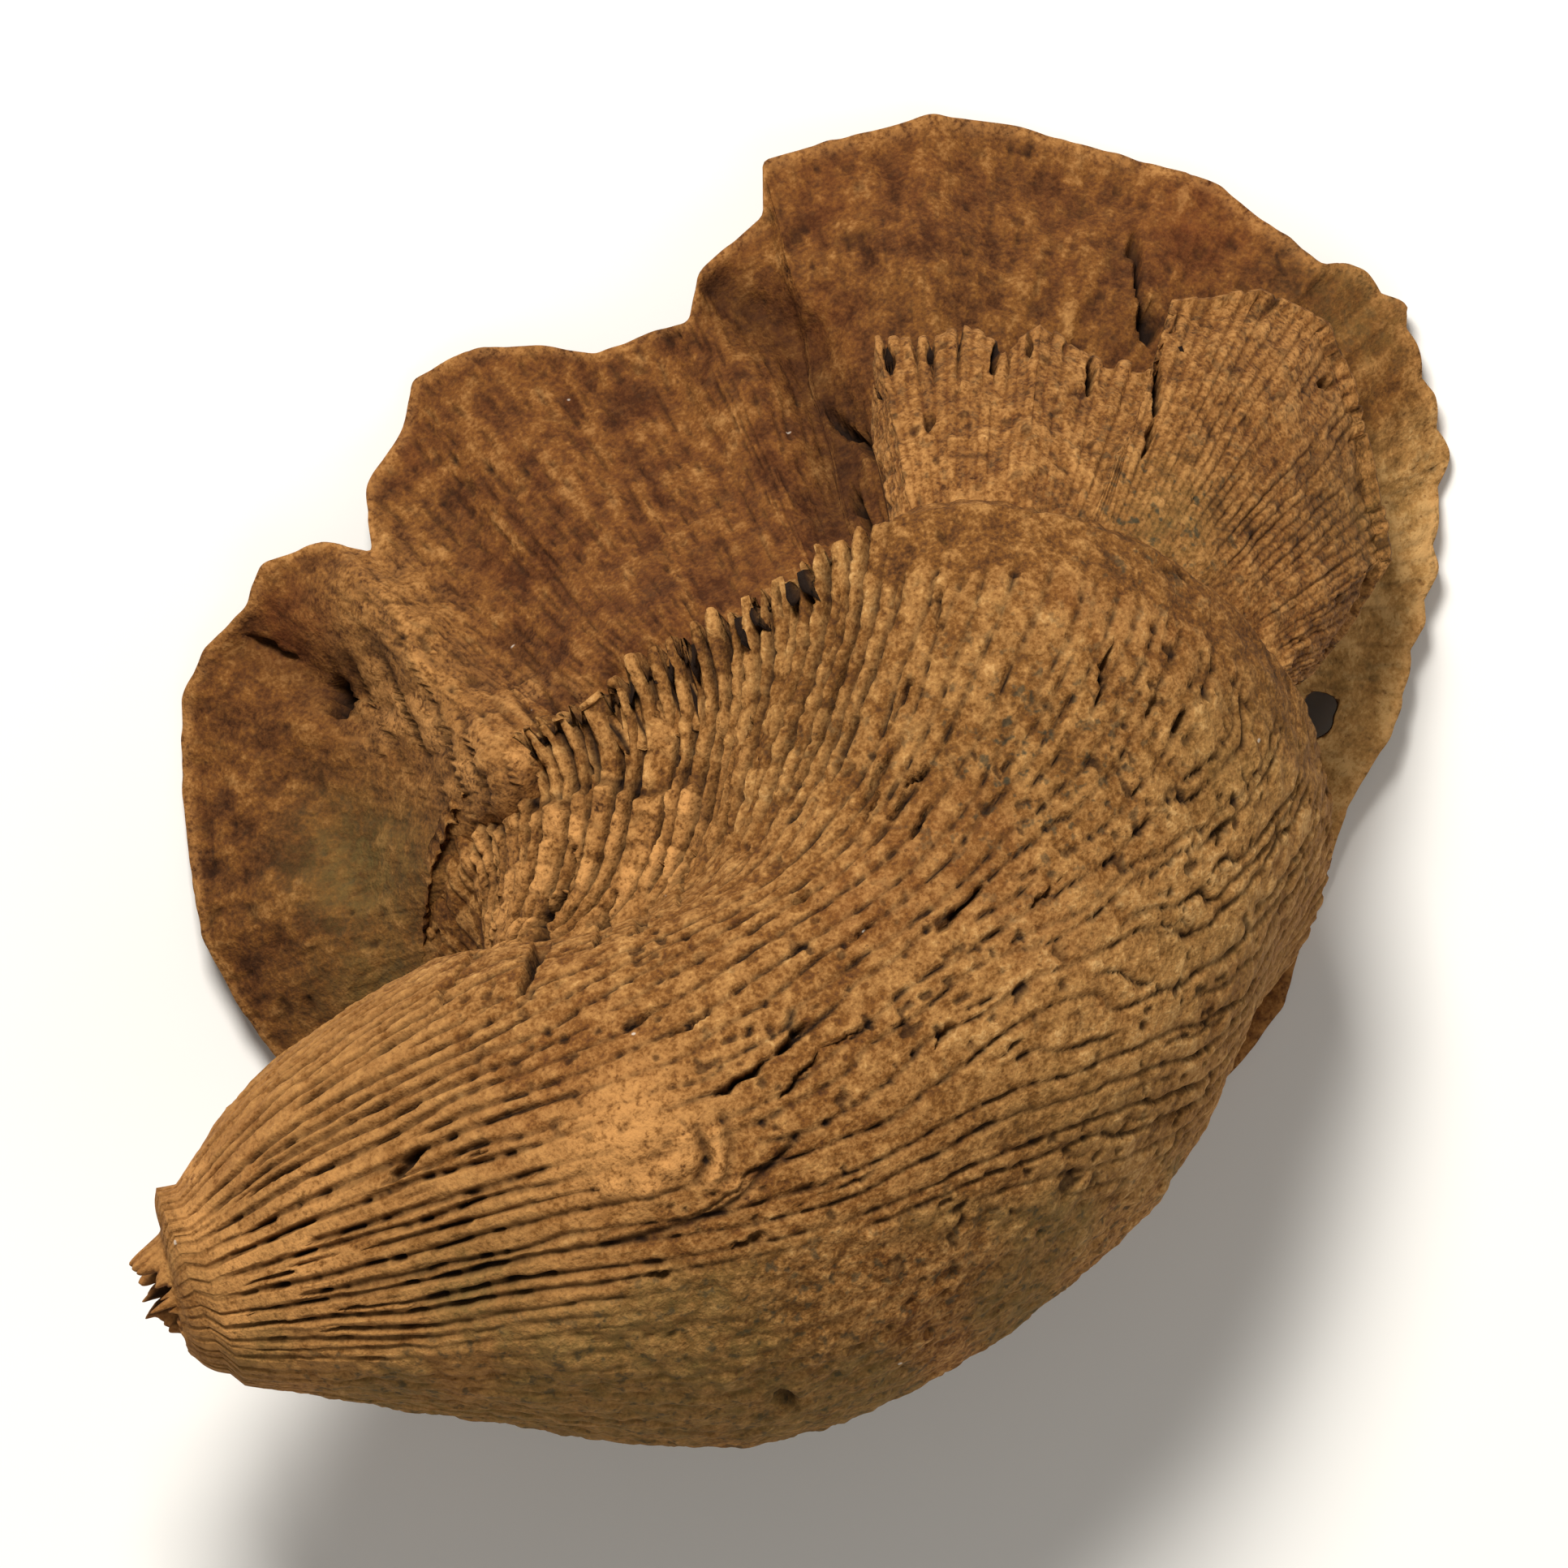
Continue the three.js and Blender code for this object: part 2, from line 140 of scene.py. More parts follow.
def steps_from(lengths: Array) -> Array:
    """Running totals of lengths along the first axis, from 0."""
    return np.concatenate([np.zeros_like(lengths[:1]), np.cumsum(lengths, axis=0)])


def grain(places: Array, size: Union[float, tuple], seed: int) -> Array:
    """Smooth noise whose lumps are about size apart.

    Args:
        places: Where it is read, with the place on the last axis.
        size: How far apart the lumps are, or one such number for each axis.
        seed: Which noise.

    Returns:
        The noise, from -1 to 1.
    """
    scaled = places / np.asarray(size, float)
    cell = np.floor(scaled).astype(np.int64)
    part = scaled - cell
    part = part * part * (3.0 - 2.0 * part)
    total = np.zeros(places.shape[:-1])
    for corner in itertools.product((0, 1), repeat=places.shape[-1]):
        step = np.array(corner)
        weight = np.prod(np.where(step == 1, part, 1.0 - part), axis=-1)
        total += weight * hashed(cell + step, seed)
    return 2.0 * total - 1.0


def curve(rows: Union[Array, tuple, list], place: Array, closed: bool = False) -> Array:
    """A smooth curve through rows of numbers.

    Args:
        rows: The rows that it goes through.
        place: Where on the curve, counted in rows.
        closed: Whether the last row leads back to the first.

    Returns:
        The curve's numbers, one row for each place.
    """
    rows, count = np.asarray(rows, float), len(rows)
    index = np.floor(place).astype(int)
    if not closed:
        index = np.clip(index, 0, count - 2)
    share = (place - index).reshape((-1,) + (1,) * (rows.ndim - 1))
    steps = [index + step for step in (-1, 0, 1, 2)]
    around = [step % count if closed else np.clip(step, 0, count - 1) for step in steps]
    before, start, end, after = (rows[step] for step in around)
    bend = 2 * before - 5 * start + 4 * end - after
    twist = -before + 3 * start - 3 * end + after
    return 0.5 * (2 * start + (end - before) * share + bend * share**2 + twist * share**3)


def normals_of(grid: Array) -> Array:
    """Outward unit normals of a grid whose columns close into loops.

    Args:
        grid: The points, by row and column.

    Returns:
        A normal for each point.
    """
    down = np.gradient(grid, axis=0)
    across = np.roll(grid, -1, axis=1) - np.roll(grid, 1, axis=1)
    normal = np.cross(down, across)
    return normal / np.maximum(np.linalg.norm(normal, axis=-1, keepdims=True), 1e-9)


def lengths_along(grid: Array) -> Array:
    """How far each point lies along its column, from the first row, in millimetres."""
    return steps_from(np.linalg.norm(np.diff(grid, axis=0), axis=-1))


def furrows(phase: Array, seed: int, uneven: float) -> tuple:
    """Finds the nearest furrow of an uneven set, one furrow to each step of the phase.

    Args:
        phase: Where each place lies across the furrows.
        seed: Which set of furrows.
        uneven: How far furrows stray from even steps, in steps.

    Returns:
        The distance to the nearest furrow in steps, its number, and the number of the place's rib.
    """
    near = np.round(phase)
    best = np.full(phase.shape, np.inf)
    furrow, rib = near, near
    for step in (-1.0, 0.0, 1.0):
        number = near + step
        off = phase - number - uneven * (chance_of(number, seed) - 0.5)
        closer = np.abs(off) < best
        best = np.where(closer, np.abs(off), best)
        furrow = np.where(closer, number, furrow)
        rib = np.where(closer, np.where(off >= 0.0, number, number - 1.0), rib)
    return best, furrow, rib


def blocks(rib: Array, along: Array, long: float, seed: int) -> tuple:
    """Parts ribs into blocks of uneven length, whose joints nearly line up from rib to rib.

    Args:
        rib: The number of the rib that each place is on.
        along: How far along its rib it lies, in millimetres.
        long: A block's mean length, in millimetres.
        seed: Which blocks.

    Returns:
        A chance number from 0 to 1 for each block, and the distance to the nearest joint in millimetres.
    """
    out_of_line = 0.7 * chance_of(rib, seed) + 0.35 * grain(beside(rib, along), (1.0, long * 1.7), seed + 1)
    position = along / long + out_of_line
    number = np.floor(position)
    tone = hashed(beside(rib, number).astype(np.int64), seed + 2)
    part = position - number
    return tone, np.minimum(part, 1.0 - part) * long


@dataclass
class Ribs:
    """The ribs and furrows of a set of places.

    It holds the distance to the nearest furrow in millimetres, that furrow's number, how far it is there from
    0 to 1, the number of the rib, and the furrow's own chance number.
    """

    off: Array
    furrow: Array
    present: Array
    rib: Array
    own: Array


def find_ribs(phase: Array, pitch: Array, around: int, room: Array, seed: int) -> Ribs:
    """Finds the nearest furrow of a set that takes in new furrows wherever its ribs grow wide.

    Args:
        phase: Where each place lies across the furrows, in steps of the finest possible rib.
        pitch: How wide such a step is at each place, in millimetres.
        around: How many steps go once round.
        room: The least width of a rib, in millimetres.
        seed: Which set of furrows.

    Returns:
        The ribs and furrows at the places.
    """
    best = np.full(phase.shape, np.inf)
    low = np.full(phase.shape, -np.inf)
    found = Ribs(*(np.zeros(phase.shape) for _ in range(5)))
    for step, first, stray in FURROW_RANKS:
        near = np.round((phase - first) / step) * step + first
        for number in (near - step, near, near + step):
            key = np.mod(number, around)
            own = chance_of(key, seed)
            place = number + stray * (2.0 * chance_of(key, seed + 1) - 1.0)
            least = room * (1.0 + 0.6 * own)
            there = np.where(first == 0.0, 1.0, ramp(pitch * step * 0.5, least, least + 0.12))
            rated = np.abs(phase - place) + 0.5 * step * (1.0 - there)
            closer = rated < best
            best = np.where(closer, rated, best)
            found.off = np.where(closer, np.abs(phase - place) * pitch, found.off)
            found.furrow = np.where(closer, number, found.furrow)
            found.present = np.where(closer, there, found.present)
            found.own = np.where(closer, own, found.own)
            below = (place <= phase) & (there > 0.5) & (place > low)
            low = np.where(below, place, low)
            found.rib = np.where(below, np.mod(number, around), found.rib)
    return found


def room_across(phase: Array, grid: Array, around: int) -> Array:
    """How many millimetres each step of the phase takes, square to its furrows.

    Args:
        phase: Where each place lies across the furrows, by row and column.
        grid: The places, in millimetres.
        around: How many steps go once round.

    Returns:
        The room for one step at each place.
    """
    turn = np.roll(phase, -1, 1) - np.roll(phase, 1, 1)
    turn = (turn + around / 2) % around - around / 2
    wide = np.linalg.norm(np.roll(grid, -1, 1) - np.roll(grid, 1, 1), axis=-1)
    long = np.linalg.norm(np.gradient(grid, axis=0), axis=-1)
    slope = np.hypot(turn / np.maximum(wide, 1e-4), np.gradient(phase, axis=0) / np.maximum(long, 1e-2))
    return 1.0 / np.maximum(slope, 1e-3)


def distance_to_path(plan: Array, path: tuple) -> Array:
    """How far places lie from a path of straight stretches, seen from above.

    Args:
        plan: The places' x and y.
        path: The path's corners.

    Returns:
        The distance to the nearest stretch, in millimetres.
    """
    nearest = np.full(plan.shape[:-1], np.inf)
    corners = np.array(path)
    for start, run in zip(corners, np.diff(corners, axis=0)):
        share = np.clip((plan - start) @ run / (run @ run), 0.0, 1.0)
        nearest = np.minimum(nearest, np.linalg.norm(plan - start - share[..., None] * run, axis=-1))
    return nearest


# ---- worn places ----


@dataclass(frozen=True)
class Slit:
    """A pit or slit worn into the stone, seen from above. Heading is that of its long way, in degrees."""

    at: tuple
    long: float
    wide: float
    heading: float
    depth: float = 0.9

    def share(self, plan: Array) -> Array:
        """How much of the slit's depth each place has.

        Args:
            plan: The places' x and y.

        Returns:
            The share, from 0 to 1.
        """
        turn = math.radians(self.heading)
        dx, dy = plan[..., 0] - self.at[0], plan[..., 1] - self.at[1]
        along = (dx * math.cos(turn) + dy * math.sin(turn)) / (self.long * 0.5)
        across = (-dx * math.sin(turn) + dy * math.cos(turn)) / (self.wide * 0.5)
        return ramp(np.abs(along) ** 2.2 + np.abs(across * 1.35) ** 1.8, 1.35, 0.35)


@dataclass(frozen=True)
class Fold:
    """A crest or valley of the flange along a path, seen from above."""

    path: tuple
    width: float
    rise: float

    def height(self, plan: Array) -> Array:
        """How far the fold lifts each place, in millimetres."""
        return self.rise * bell(distance_to_path(plan, self.path), self.width)


@dataclass(frozen=True)
class Patch:
    """A soft round patch seen from above, stained or raised."""

    at: tuple
    radius: float
    strength: float = 1.0

    def share(self, plan: Array) -> Array:
        """How strong the stain is at each place, from 0 to 1."""
        return self.strength * bell(np.linalg.norm(plan - self.at, axis=-1), self.radius)


def slits_at(*rows: tuple) -> tuple:
    """Slits from rows of x, y, length, width, heading and depth."""
    return tuple(Slit((x, y), *size) for x, y, *size in rows)


def patches_at(*rows: tuple) -> tuple:
    """Patches from rows of x, y, radius and, where it isn't 1, strength."""
    return tuple(Patch((x, y), *size) for x, y, *size in rows)


def worn_down(slits: tuple, plan: Array) -> Array:
    """How deep the slits have worn each place, with ragged sides.

    Args:
        slits: The slits.
        plan: The places' x and y.

    Returns:
        The depth, in millimetres.
    """
    ragged = plan + 0.14 * beside(grain(plan, 0.4, 901), grain(plan, 0.4, 903))
    ragged = ragged + 0.10 * beside(grain(plan, 0.9, 902), grain(plan, 0.9, 904))
    return np.max([slit.depth * slit.share(ragged) for slit in slits], axis=0)


def stained(patches: tuple, plan: Array) -> Array:
    """The strongest of some patches at each place."""
    return np.max([patch.share(plan) for patch in patches], axis=0)


class Mark(Enum):
    """What the stone's finish reads at each point of a mesh."""

    # Where the near-black goes: painted shade in furrows, pits, slits, slots and valleys, with some dirt and
    # dark joints.
    CAVITY = "cavity"
    TONE = "tone"
    # Paler places: the stone's own pale patches, and rib tops painted paler as a highlight.
    PALE = "pale"
    RUST = "rust"
    MOSS = "moss"
    SPECK = "speck"
    GRAIN = "grain"


# ---- meshes ----


@dataclass
class Skin:
    """A closed skin: a grid of points, whose columns close into loops, between two end points."""

    first: Array
    grid: Array
    last: Array
    marks: dict = field(default_factory=dict)

    def faces(self) -> tuple:
        """Works out the grid's four-sided faces and the end fans' triangles.

        Returns:
            The corner numbers of all the faces in turn, and how many corners each face has.
        """
        rows, columns = self.grid.shape[:2]
        column = np.arange(columns)
        onward = (column + 1) % columns
        row = np.arange(rows - 1)[:, None] * columns + 1
        quads = beside(row + column, row + columns + column, row + columns + onward, row + onward)
        end = rows * columns + 1
        final = (rows - 1) * columns + 1
        start_fan = beside(0, 1 + column, 1 + onward)
        end_fan = beside(end, final + onward, final + column)
        corners = np.concatenate([quads.reshape(-1), start_fan.reshape(-1), end_fan.reshape(-1)])
        counts = np.concatenate([np.full(quads.shape[0] * columns, 4), np.full(2 * columns, 3)])
        return corners, counts

    def unwrap(self) -> Array:
        """Lays the grid out flat.

        Returns:
            A place on the map for each corner of each face, in the order that faces gives.
        """
        rows, columns = self.grid.shape[:2]
        column = np.arange(columns)
        u = (column + 0.5) / (columns + 1)
        v = (np.arange(rows) + 1.0) / (rows + 1)
        wide = 1.0 / (columns + 1)
        low, high, right = v[:-1, None], v[1:, None], u + wide
        quads = beside(u, low, u, high, right, high, right, low)
        half = u + wide * 0.5
        start = beside(half, v[0] * 0.5, u, v[0], u + wide, v[0])
        end = beside(half, (1.0 + v[-1]) * 0.5, u + wide, v[-1], u, v[-1])
        return np.concatenate([quads.reshape(-1), start.reshape(-1), end.reshape(-1)])

    def build(self, name: str) -> bpy.types.Object:
        """Makes the skin's object in the frame, in metres.

        Args:
            name: The piece's name.

        Returns:
            The piece, with its marks as attributes and a map for its finish.
        """
        points = np.concatenate([self.first[None], self.grid.reshape(-1, 3), self.last[None]])
        points = (points + PLACE) * MM
        corners, counts = self.faces()
        mesh = bpy.data.meshes.new(name)
        mesh.vertices.add(len(points))
        mesh.vertices.foreach_set("co", points.astype(np.float32).ravel())
        mesh.loops.add(len(corners))
        mesh.loops.foreach_set("vertex_index", corners.astype(np.int32))
        mesh.polygons.add(len(counts))
        starts = steps_from(counts[:-1])
        mesh.polygons.foreach_set("loop_start", starts.astype(np.int32))
        for mark, values in self.marks.items():
            spread = np.concatenate([[values[0].mean()], values.ravel(), [values[-1].mean()]])
            layer = mesh.attributes.new(mark.value, "FLOAT", "POINT")
            layer.data.foreach_set("value", np.clip(spread, 0.0, 1.0).astype(np.float32))
        layer = mesh.uv_layers.new(name="OFBake")
        layer.uv.foreach_set("vector", self.unwrap().astype(np.float32))
        mesh.update(calc_edges=True)
        mesh.validate()
        mesh.shade_smooth()
        piece = bpy.data.objects.new(name, mesh)
        bpy.context.scene.collection.objects.link(piece)
        return piece


def cut_away(piece: bpy.types.Object, cutter: bpy.types.Object) -> None:
    """Takes the cutter's solid out of a piece, and throws the cutter away.

    Args:
        piece: The piece that is cut.
        cutter: A closed object of the shape to take out.
    """
    cut = piece.modifiers.new("cut", "BOOLEAN")
    cut.operation = "DIFFERENCE"
    cut.solver = "MANIFOLD"
    cut.object = cutter
    evaluated = piece.evaluated_get(bpy.context.evaluated_depsgraph_get())
    mesh = bpy.data.meshes.new_from_object(evaluated)
    piece.modifiers.clear()
    whole = piece.data
    piece.data = mesh
    mesh.name = piece.name
    bpy.data.meshes.remove(whole)
    spare = cutter.data
    bpy.data.objects.remove(cutter)
    bpy.data.meshes.remove(spare)


# ---- shaders ----


class Link:
    """A number that a shader works out: sums on it add Math nodes."""

    def __init__(self, tree: "ShaderTree", socket: bpy.types.NodeSocket) -> None:
        """Wraps an output socket of a tree."""
        self.tree = tree
        self.socket = socket

    def _math(self, operation: str, *values: Number) -> "Link":
        """One Math node."""
        return self.tree.add("ShaderNodeMath", {"operation": operation}, dict(enumerate(values)))

    def __add__(self, other: Number) -> "Link":
        """self + other."""
        return self._math("ADD", self, other)

    def __radd__(self, other: Number) -> "Link":
        """other + self."""
        return self._math("ADD", other, self)

    def __sub__(self, other: Number) -> "Link":
        """self - other."""
        return self._math("SUBTRACT", self, other)

    def __rsub__(self, other: Number) -> "Link":
        """other - self."""
        return self._math("SUBTRACT", other, self)

    def __mul__(self, other: Number) -> "Link":
        """self * other."""
        return self._math("MULTIPLY", self, other)

    def __rmul__(self, other: Number) -> "Link":
        """other * self."""
        return self._math("MULTIPLY", other, self)

    def ramp(self, start: float, end: float) -> "Link":
        """A smooth ramp from 0 at start to 1 at end."""
        values = {"Value": self, "From Min": start, "From Max": end}
        return self.tree.add("ShaderNodeMapRange", {"interpolation_type": "SMOOTHSTEP"}, values)


class ShaderTree:
    """A material's nodes, built by one method for any node and a few for what stone is made of."""

    def __init__(self, name: str) -> None:
        """Starts a material with only its output.

        Args:
            name: The material's name.
        """
        self.material = bpy.data.materials.new(name)
        self.material.use_nodes = True
        self.nodes = self.material.node_tree.nodes
        self.links = self.material.node_tree.links
        self.nodes.clear()
        self.output = self.nodes.new("ShaderNodeOutputMaterial")

    def add(self, kind: str, settings: dict, values: dict, output: Union[int, str] = 0) -> Link:
        """Adds a node of any kind.

        Args:
            kind: The node's type.
            settings: What is set on the node itself, or a ramp's stops under the name stops.
            values: What each input socket holds, or the link that feeds it.
            output: The output that is wanted.

        Returns:
            That output.
        """
        node = self.nodes.new(kind)
        for name, setting in settings.items():
            if name == "stops":
                self._set_stops(node, setting)
            else:
                setattr(node, name, setting)
        for name, value in values.items():
            if isinstance(value, Link):
                self.links.new(value.socket, node.inputs[name])
            else:
                node.inputs[name].default_value = value
        return Link(self, node.outputs[output])

    def surface(self, values: dict) -> None:
        """Ends the material in a surface with these values and links."""
        shader = self.add("ShaderNodeBsdfPrincipled", {}, values)
        self.links.new(shader.socket, self.output.inputs["Surface"])

    @staticmethod
    def _set_stops(node: bpy.types.Node, stops: list) -> None:
        """Gives a ramp its stops.

        Args:
            node: The ramp.
            stops: A place and a colour for each stop.
        """
        elements = node.color_ramp.elements
        while len(elements) < len(stops):
            elements.new(1.0)
        for element, (place, colour) in zip(elements, stops):
            element.position = place
            element.color = colour

    def mark(self, mark: Mark) -> Link:
        """What a mesh's mark says at each point."""
        return self.add("ShaderNodeAttribute", {"attribute_name": mark.value}, {}, "Fac")

    def noise(self, size: float, detail: float = 2.0, rough: float = 0.55) -> Link:
        """Noise through the stone's own space.

        Args:
            size: How far apart its lumps are, in millimetres.
            detail: How many finer layers it has.
            rough: How strong they are.

        Returns:
            The noise, around 0.5.
        """
        place = self.add("ShaderNodeTexCoord", {}, {}, "Object")
        values = {"Vector": place, "Scale": 1.0 / (size * MM), "Detail": detail, "Roughness": rough}
        return self.add("ShaderNodeTexNoise", {}, values, "Fac")

    def blend(self, base: Union[tuple, Link], over: Union[tuple, Link], share: Number) -> Link:
        """Lays a share of one colour over another."""
        values = {MIX_SHARE: share, MIX_BASE: base, MIX_OVER: over}
        return self.add("ShaderNodeMix", {"data_type": "RGBA"}, values, MIX_COLOUR)


def shade(red: int, green: int, blue: int) -> tuple:
    """Turns a colour as a screen shows it into the linear colour that shaders use.

    Args:
        red: Its red, to 255.
        green: Its green.
        blue: Its blue.

    Returns:
        The colour, opaque.
    """
    parts = [value / 255.0 for value in (red, green, blue)]
    linear = [part / 12.92 if part <= 0.04045 else ((part + 0.055) / 1.055) ** 2.4 for part in parts]
    return (*linear, 1.0)


@dataclass(frozen=True)
class CoralStone:
    """The fossil's finish: ochre calcite, furrows with painted shade and some dirt, rusty and green-grey
    stains, pale crowns that are partly a painted highlight, and painted white glints.
    """

    name: str
    dark: tuple = shade(48, 26, 9)
    umber: tuple = shade(86, 52, 23)
    brown: tuple = shade(112, 71, 29)
    ochre: tuple = shade(139, 96, 50)
    tan: tuple = shade(161, 115, 62)
    cream: tuple = shade(188, 144, 88)
    stops_at: tuple = (0.10, 0.28, 0.42, 0.54, 0.67, 0.83)
    # Paler rib crowns: partly a painted highlight on rib tops.
    crown: tuple = shade(190, 135, 76)
    rust: tuple = shade(112, 55, 22)
    moss: tuple = shade(104, 85, 44)
    # The near-black of furrows, pits, slits and slots: painted shade, with some dirt.
    dirt_and_shade: tuple = shade(28, 16, 8)
    speck: tuple = shade(52, 51, 37)
    # Painted highlight colour for the tiny white glints.
    glint: tuple = shade(225, 215, 198)
    roughness: float = 0.72
    specular: float = 0.1
    bump_strength: float = 0.8
    bump_depth: float = 0.15

    def colour(self, tree: ShaderTree, grit: Link) -> Link:
        """The stone's colour at each point.

        Args:
            tree: The material's nodes.
            grit: The fine noise that also shapes its surface.

        Returns:
            The colour.
        """
        broad = tree.noise(3.0, 5.0, 0.75)
        small = tree.noise(0.45, 3.0, 0.65)
        grainy = 0.30 + 0.70 * tree.mark(Mark.GRAIN)
        mottle = tree.mark(Mark.TONE) * 0.75 + broad * 0.06
        mottle = mottle + (small * 0.50 + grit * 0.90 - 0.70) * grainy + 0.095
        tones = (self.dark, self.umber, self.brown, self.ochre, self.tan, self.cream)
        colour = tree.add("ShaderNodeValToRGB", {"stops": list(zip(self.stops_at, tones))}, {"Fac": mottle})
        patchy = tree.noise(0.9, 4.0, 0.75)
        crowns = (small * 0.5 + grit * 0.5).ramp(0.34, 0.56)
        # Umber in the low spots of the fine grit: painted shade, with some dirt.
        pits = (0.5 * grit + 0.5 * tree.noise(0.28, 1.0, 0.5)).ramp(0.39, 0.32)
        spots = tree.noise(0.5, 2.0, 0.6).ramp(0.55, 0.70)
        # Rare tiny white glints: painted highlights.
        glints = tree.noise(0.6, 0.0, 0.5).ramp(0.90, 0.93)
        mossy = 0.35 + 0.65 * (1.0 - patchy).ramp(0.30, 0.70)
        layers = (
            (self.rust, tree.mark(Mark.RUST) * patchy * 0.75),
            (self.moss, tree.mark(Mark.MOSS) * mossy * 0.8),
            # Paler crowns: partly a painted highlight on rib tops.
            (self.crown, tree.mark(Mark.PALE) * crowns * 0.85),
            (self.umber, pits * grainy * 0.75),
            (self.speck, tree.mark(Mark.SPECK) * spots * 0.85),
            # Painted shade, with some dirt, wherever the cavity mark is.
            (self.dirt_and_shade, tree.mark(Mark.CAVITY)),
            (self.glint, glints * 0.5),
        )
        for over, share in layers:
            colour = tree.blend(colour, over, share)
        return colour

    def build(self) -> bpy.types.Material:
        """Makes the finish.

        Returns:
            The material.
        """
        tree = ShaderTree(self.name)
        grit = tree.noise(0.17, 3.0, 0.6)
        grains = tree.noise(0.42, 2.0, 0.55) * 0.8 + tree.noise(0.8, 2.0, 0.5) * 0.9
        relief = grit * 0.65 + grains * (0.3 + 0.7 * tree.mark(Mark.GRAIN))
        bumps = {"Strength": self.bump_strength, "Distance": self.bump_depth * MM, "Height": relief}
        values = {
            "Base Color": self.colour(tree, grit),
            "Roughness": self.roughness + grit * 0.25,
            "Normal": tree.add("ShaderNodeBump", {}, bumps),
            "Specular IOR Level": self.specular,
        }
        tree.surface(values)
        return tree.material


class Stage:
    """A stage of the fossil's growth: it dresses the pieces that it builds."""

    def dress(self, piece: bpy.types.Object, material: bpy.types.Material) -> None:
        """Gives a piece its finish, hangs it on the body that it rides on, and hides the solid that it stands
        for.

        Args:
            piece: The piece.
            material: Its finish.
        """
        piece.data.materials.clear()
        piece.data.materials.append(material)
        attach(piece, BODY)
        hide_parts(NODE)
        triangles = sum(len(face.vertices) - 2 for face in piece.data.polygons)
        LOG.info("%s: %d triangles", piece.name, triangles)


# ---- the horn ----


@dataclass(frozen=True)
class Station:
    """A ring across the horn: its centre, its growth direction's dip and turn, and its radii round it."""

    centre: tuple
    dip: float
    turn: float
    radii: tuple


HORN_STATIONS = (
    Station((-29.2, -3.9, 17.0), 0, 0, (2.4, 2.5, 2.5, 2.4, 2.4, 2.5, 2.6, 2.5)),
    Station((-27.2, -4.8, 17.2), 1, -4, (4.2, 4.3, 4.3, 4.2, 4.1, 4.1, 3.7, 4.2)),
    Station((-21.6, -6.7, 17.4), 6, -5, (7.8, 8.0, 8.0, 8.0, 7.6, 7.4, 6.5, 7.5)),
    Station((-13.6, -8.4, 16.6), 16, 6, (11.8, 10.8, 9.8, 10.6, 10.6, 11.3, 11.9, 12.0)),
    Station((-5.0, -9.4, 14.2), 38, 36, (14.4, 12.8, 9.4, 12.2, 12.8, 12.6, 12.8, 13.5)),
    Station((0.0, -6.4, 11.8), 48, 52, (16.6, 15.6, 10.8, 14.0, 15.8, 14.4, 12.5, 14.2)),
    Station((2.0, -4.2, 10.2), 53, 58, (16.6, 16.2, 12.6, 16.4, 19.0, 15.6, 13.5, 15.8)),
)

HORN_SLITS = slits_at(
    (-7.0, -8.2, 2.4, 0.34, 5, 0.65), (-4.6, -7.9, 1.5, 0.45, 9, 0.7), (-5.0, -9.2, 2.5, 0.26, 20, 0.5),
    (-3.0, -8.8, 1.6, 0.24, -1, 0.4), (-8.9, -4.5, 1.4, 0.26, -3, 0.45), (-7.4, -5.6, 1.9, 0.24, 0, 0.45),
    (-14.0, 3.6, 1.9, 0.3, 43, 0.54), (-14.0, 0.3, 2.8, 0.3, 28, 0.41), (-10.6, -0.3, 4.4, 0.6, 33, 1.02),
    (-8.1, -0.8, 2, 0.42, 33, 0.82), (-14.0, 1.9, 0.8, 0.6, 28, 0.47), (-7.0, -1.4, 0.9, 0.5, 33, 0.54),
    (-5.1, -1.1, 1.5, 0.3, 46, 0.54), (-8.9, -11.4, 4.8, 0.2, 4, 0.27), (-1.6, -3.8, 0.9, 0.4, 8, 0.47),
    (3.0, -1.5, 2, 0.30, 25, 0.62), (4.1, -2.3, 1.3, 0.35, 23, 0.71), (3.4, -3.7, 1.5, 0.30, 28, 0.64),
    (2.2, -2.3, 1.4, 0.27, 26, 0.55), (3.0, -2.8, 1.2, 0.27, 26, 0.55), (5.2, 0.4, 2.1, 0.24, 33, 0.54),
    (8.1, 2.5, 1.5, 0.3, 50, 0.68), (12.1, -2.7, 2.6, 0.24, 43, 0.62), (12.9, -4.7, 1.3, 0.38, 30, 0.47),
    (13.5, -5.8, 0.7, 0.6, 28, 0.54), (12.6, -10.1, 1, 0.5, 38, 0.54), (-0.4, -6.0, 1.8, 0.21, 10, 0.47),
    (3.1, -7.2, 2.4, 0.36, 13, 0.62), (5.9, -8.4, 1.8, 0.3, 18, 0.47), (0.1, -10.8, 1.2, 0.3, 28, 0.41),
    (-18.9, -4.3, 1.8, 0.75, 13, 0.75), (-9.9, -13.4, 1.3, 0.45, -12, 0.47),
    (-13.2, -12.8, 0.9, 0.4, -22, 0.41), (-11.8, -19.1, 0.9, 0.8, -32, 0.54),
)
PEARLS = patches_at((-11.9, -9.9, 0.45), (-10.9, -9.6, 0.4), (-9.2, -11.6, 0.5), (-12.9, -9.2, 0.4))
ROOT_PALE = patches_at(
    (-26.3, -0.4, 0.8), (-24.0, -5.6, 1.6, 0.7), (-22.5, -3.6, 1.4, 0.5),
    (-27.1, -2.3, 0.9, 0.9), (-26.2, -4.0, 1.0, 0.8), (-27.3, -6.0, 0.7, 0.9),
)
HORN_SPECKS = patches_at((8.0, -4.0, 5.5), (15.5, 0.0, 3.0, 0.7), (2.5, 0.0, 3.0, 0.5))
HORN_MOSS = patches_at(
    (-19.5, -9.8, 2.2), (14.5, -8.0, 3.5, 0.5), (3.3, -16.5, 4.5, 0.4),
    (10.5, -14.0, 4.0, 0.45), (-27.0, -7.2, 1.2, 0.9),
)
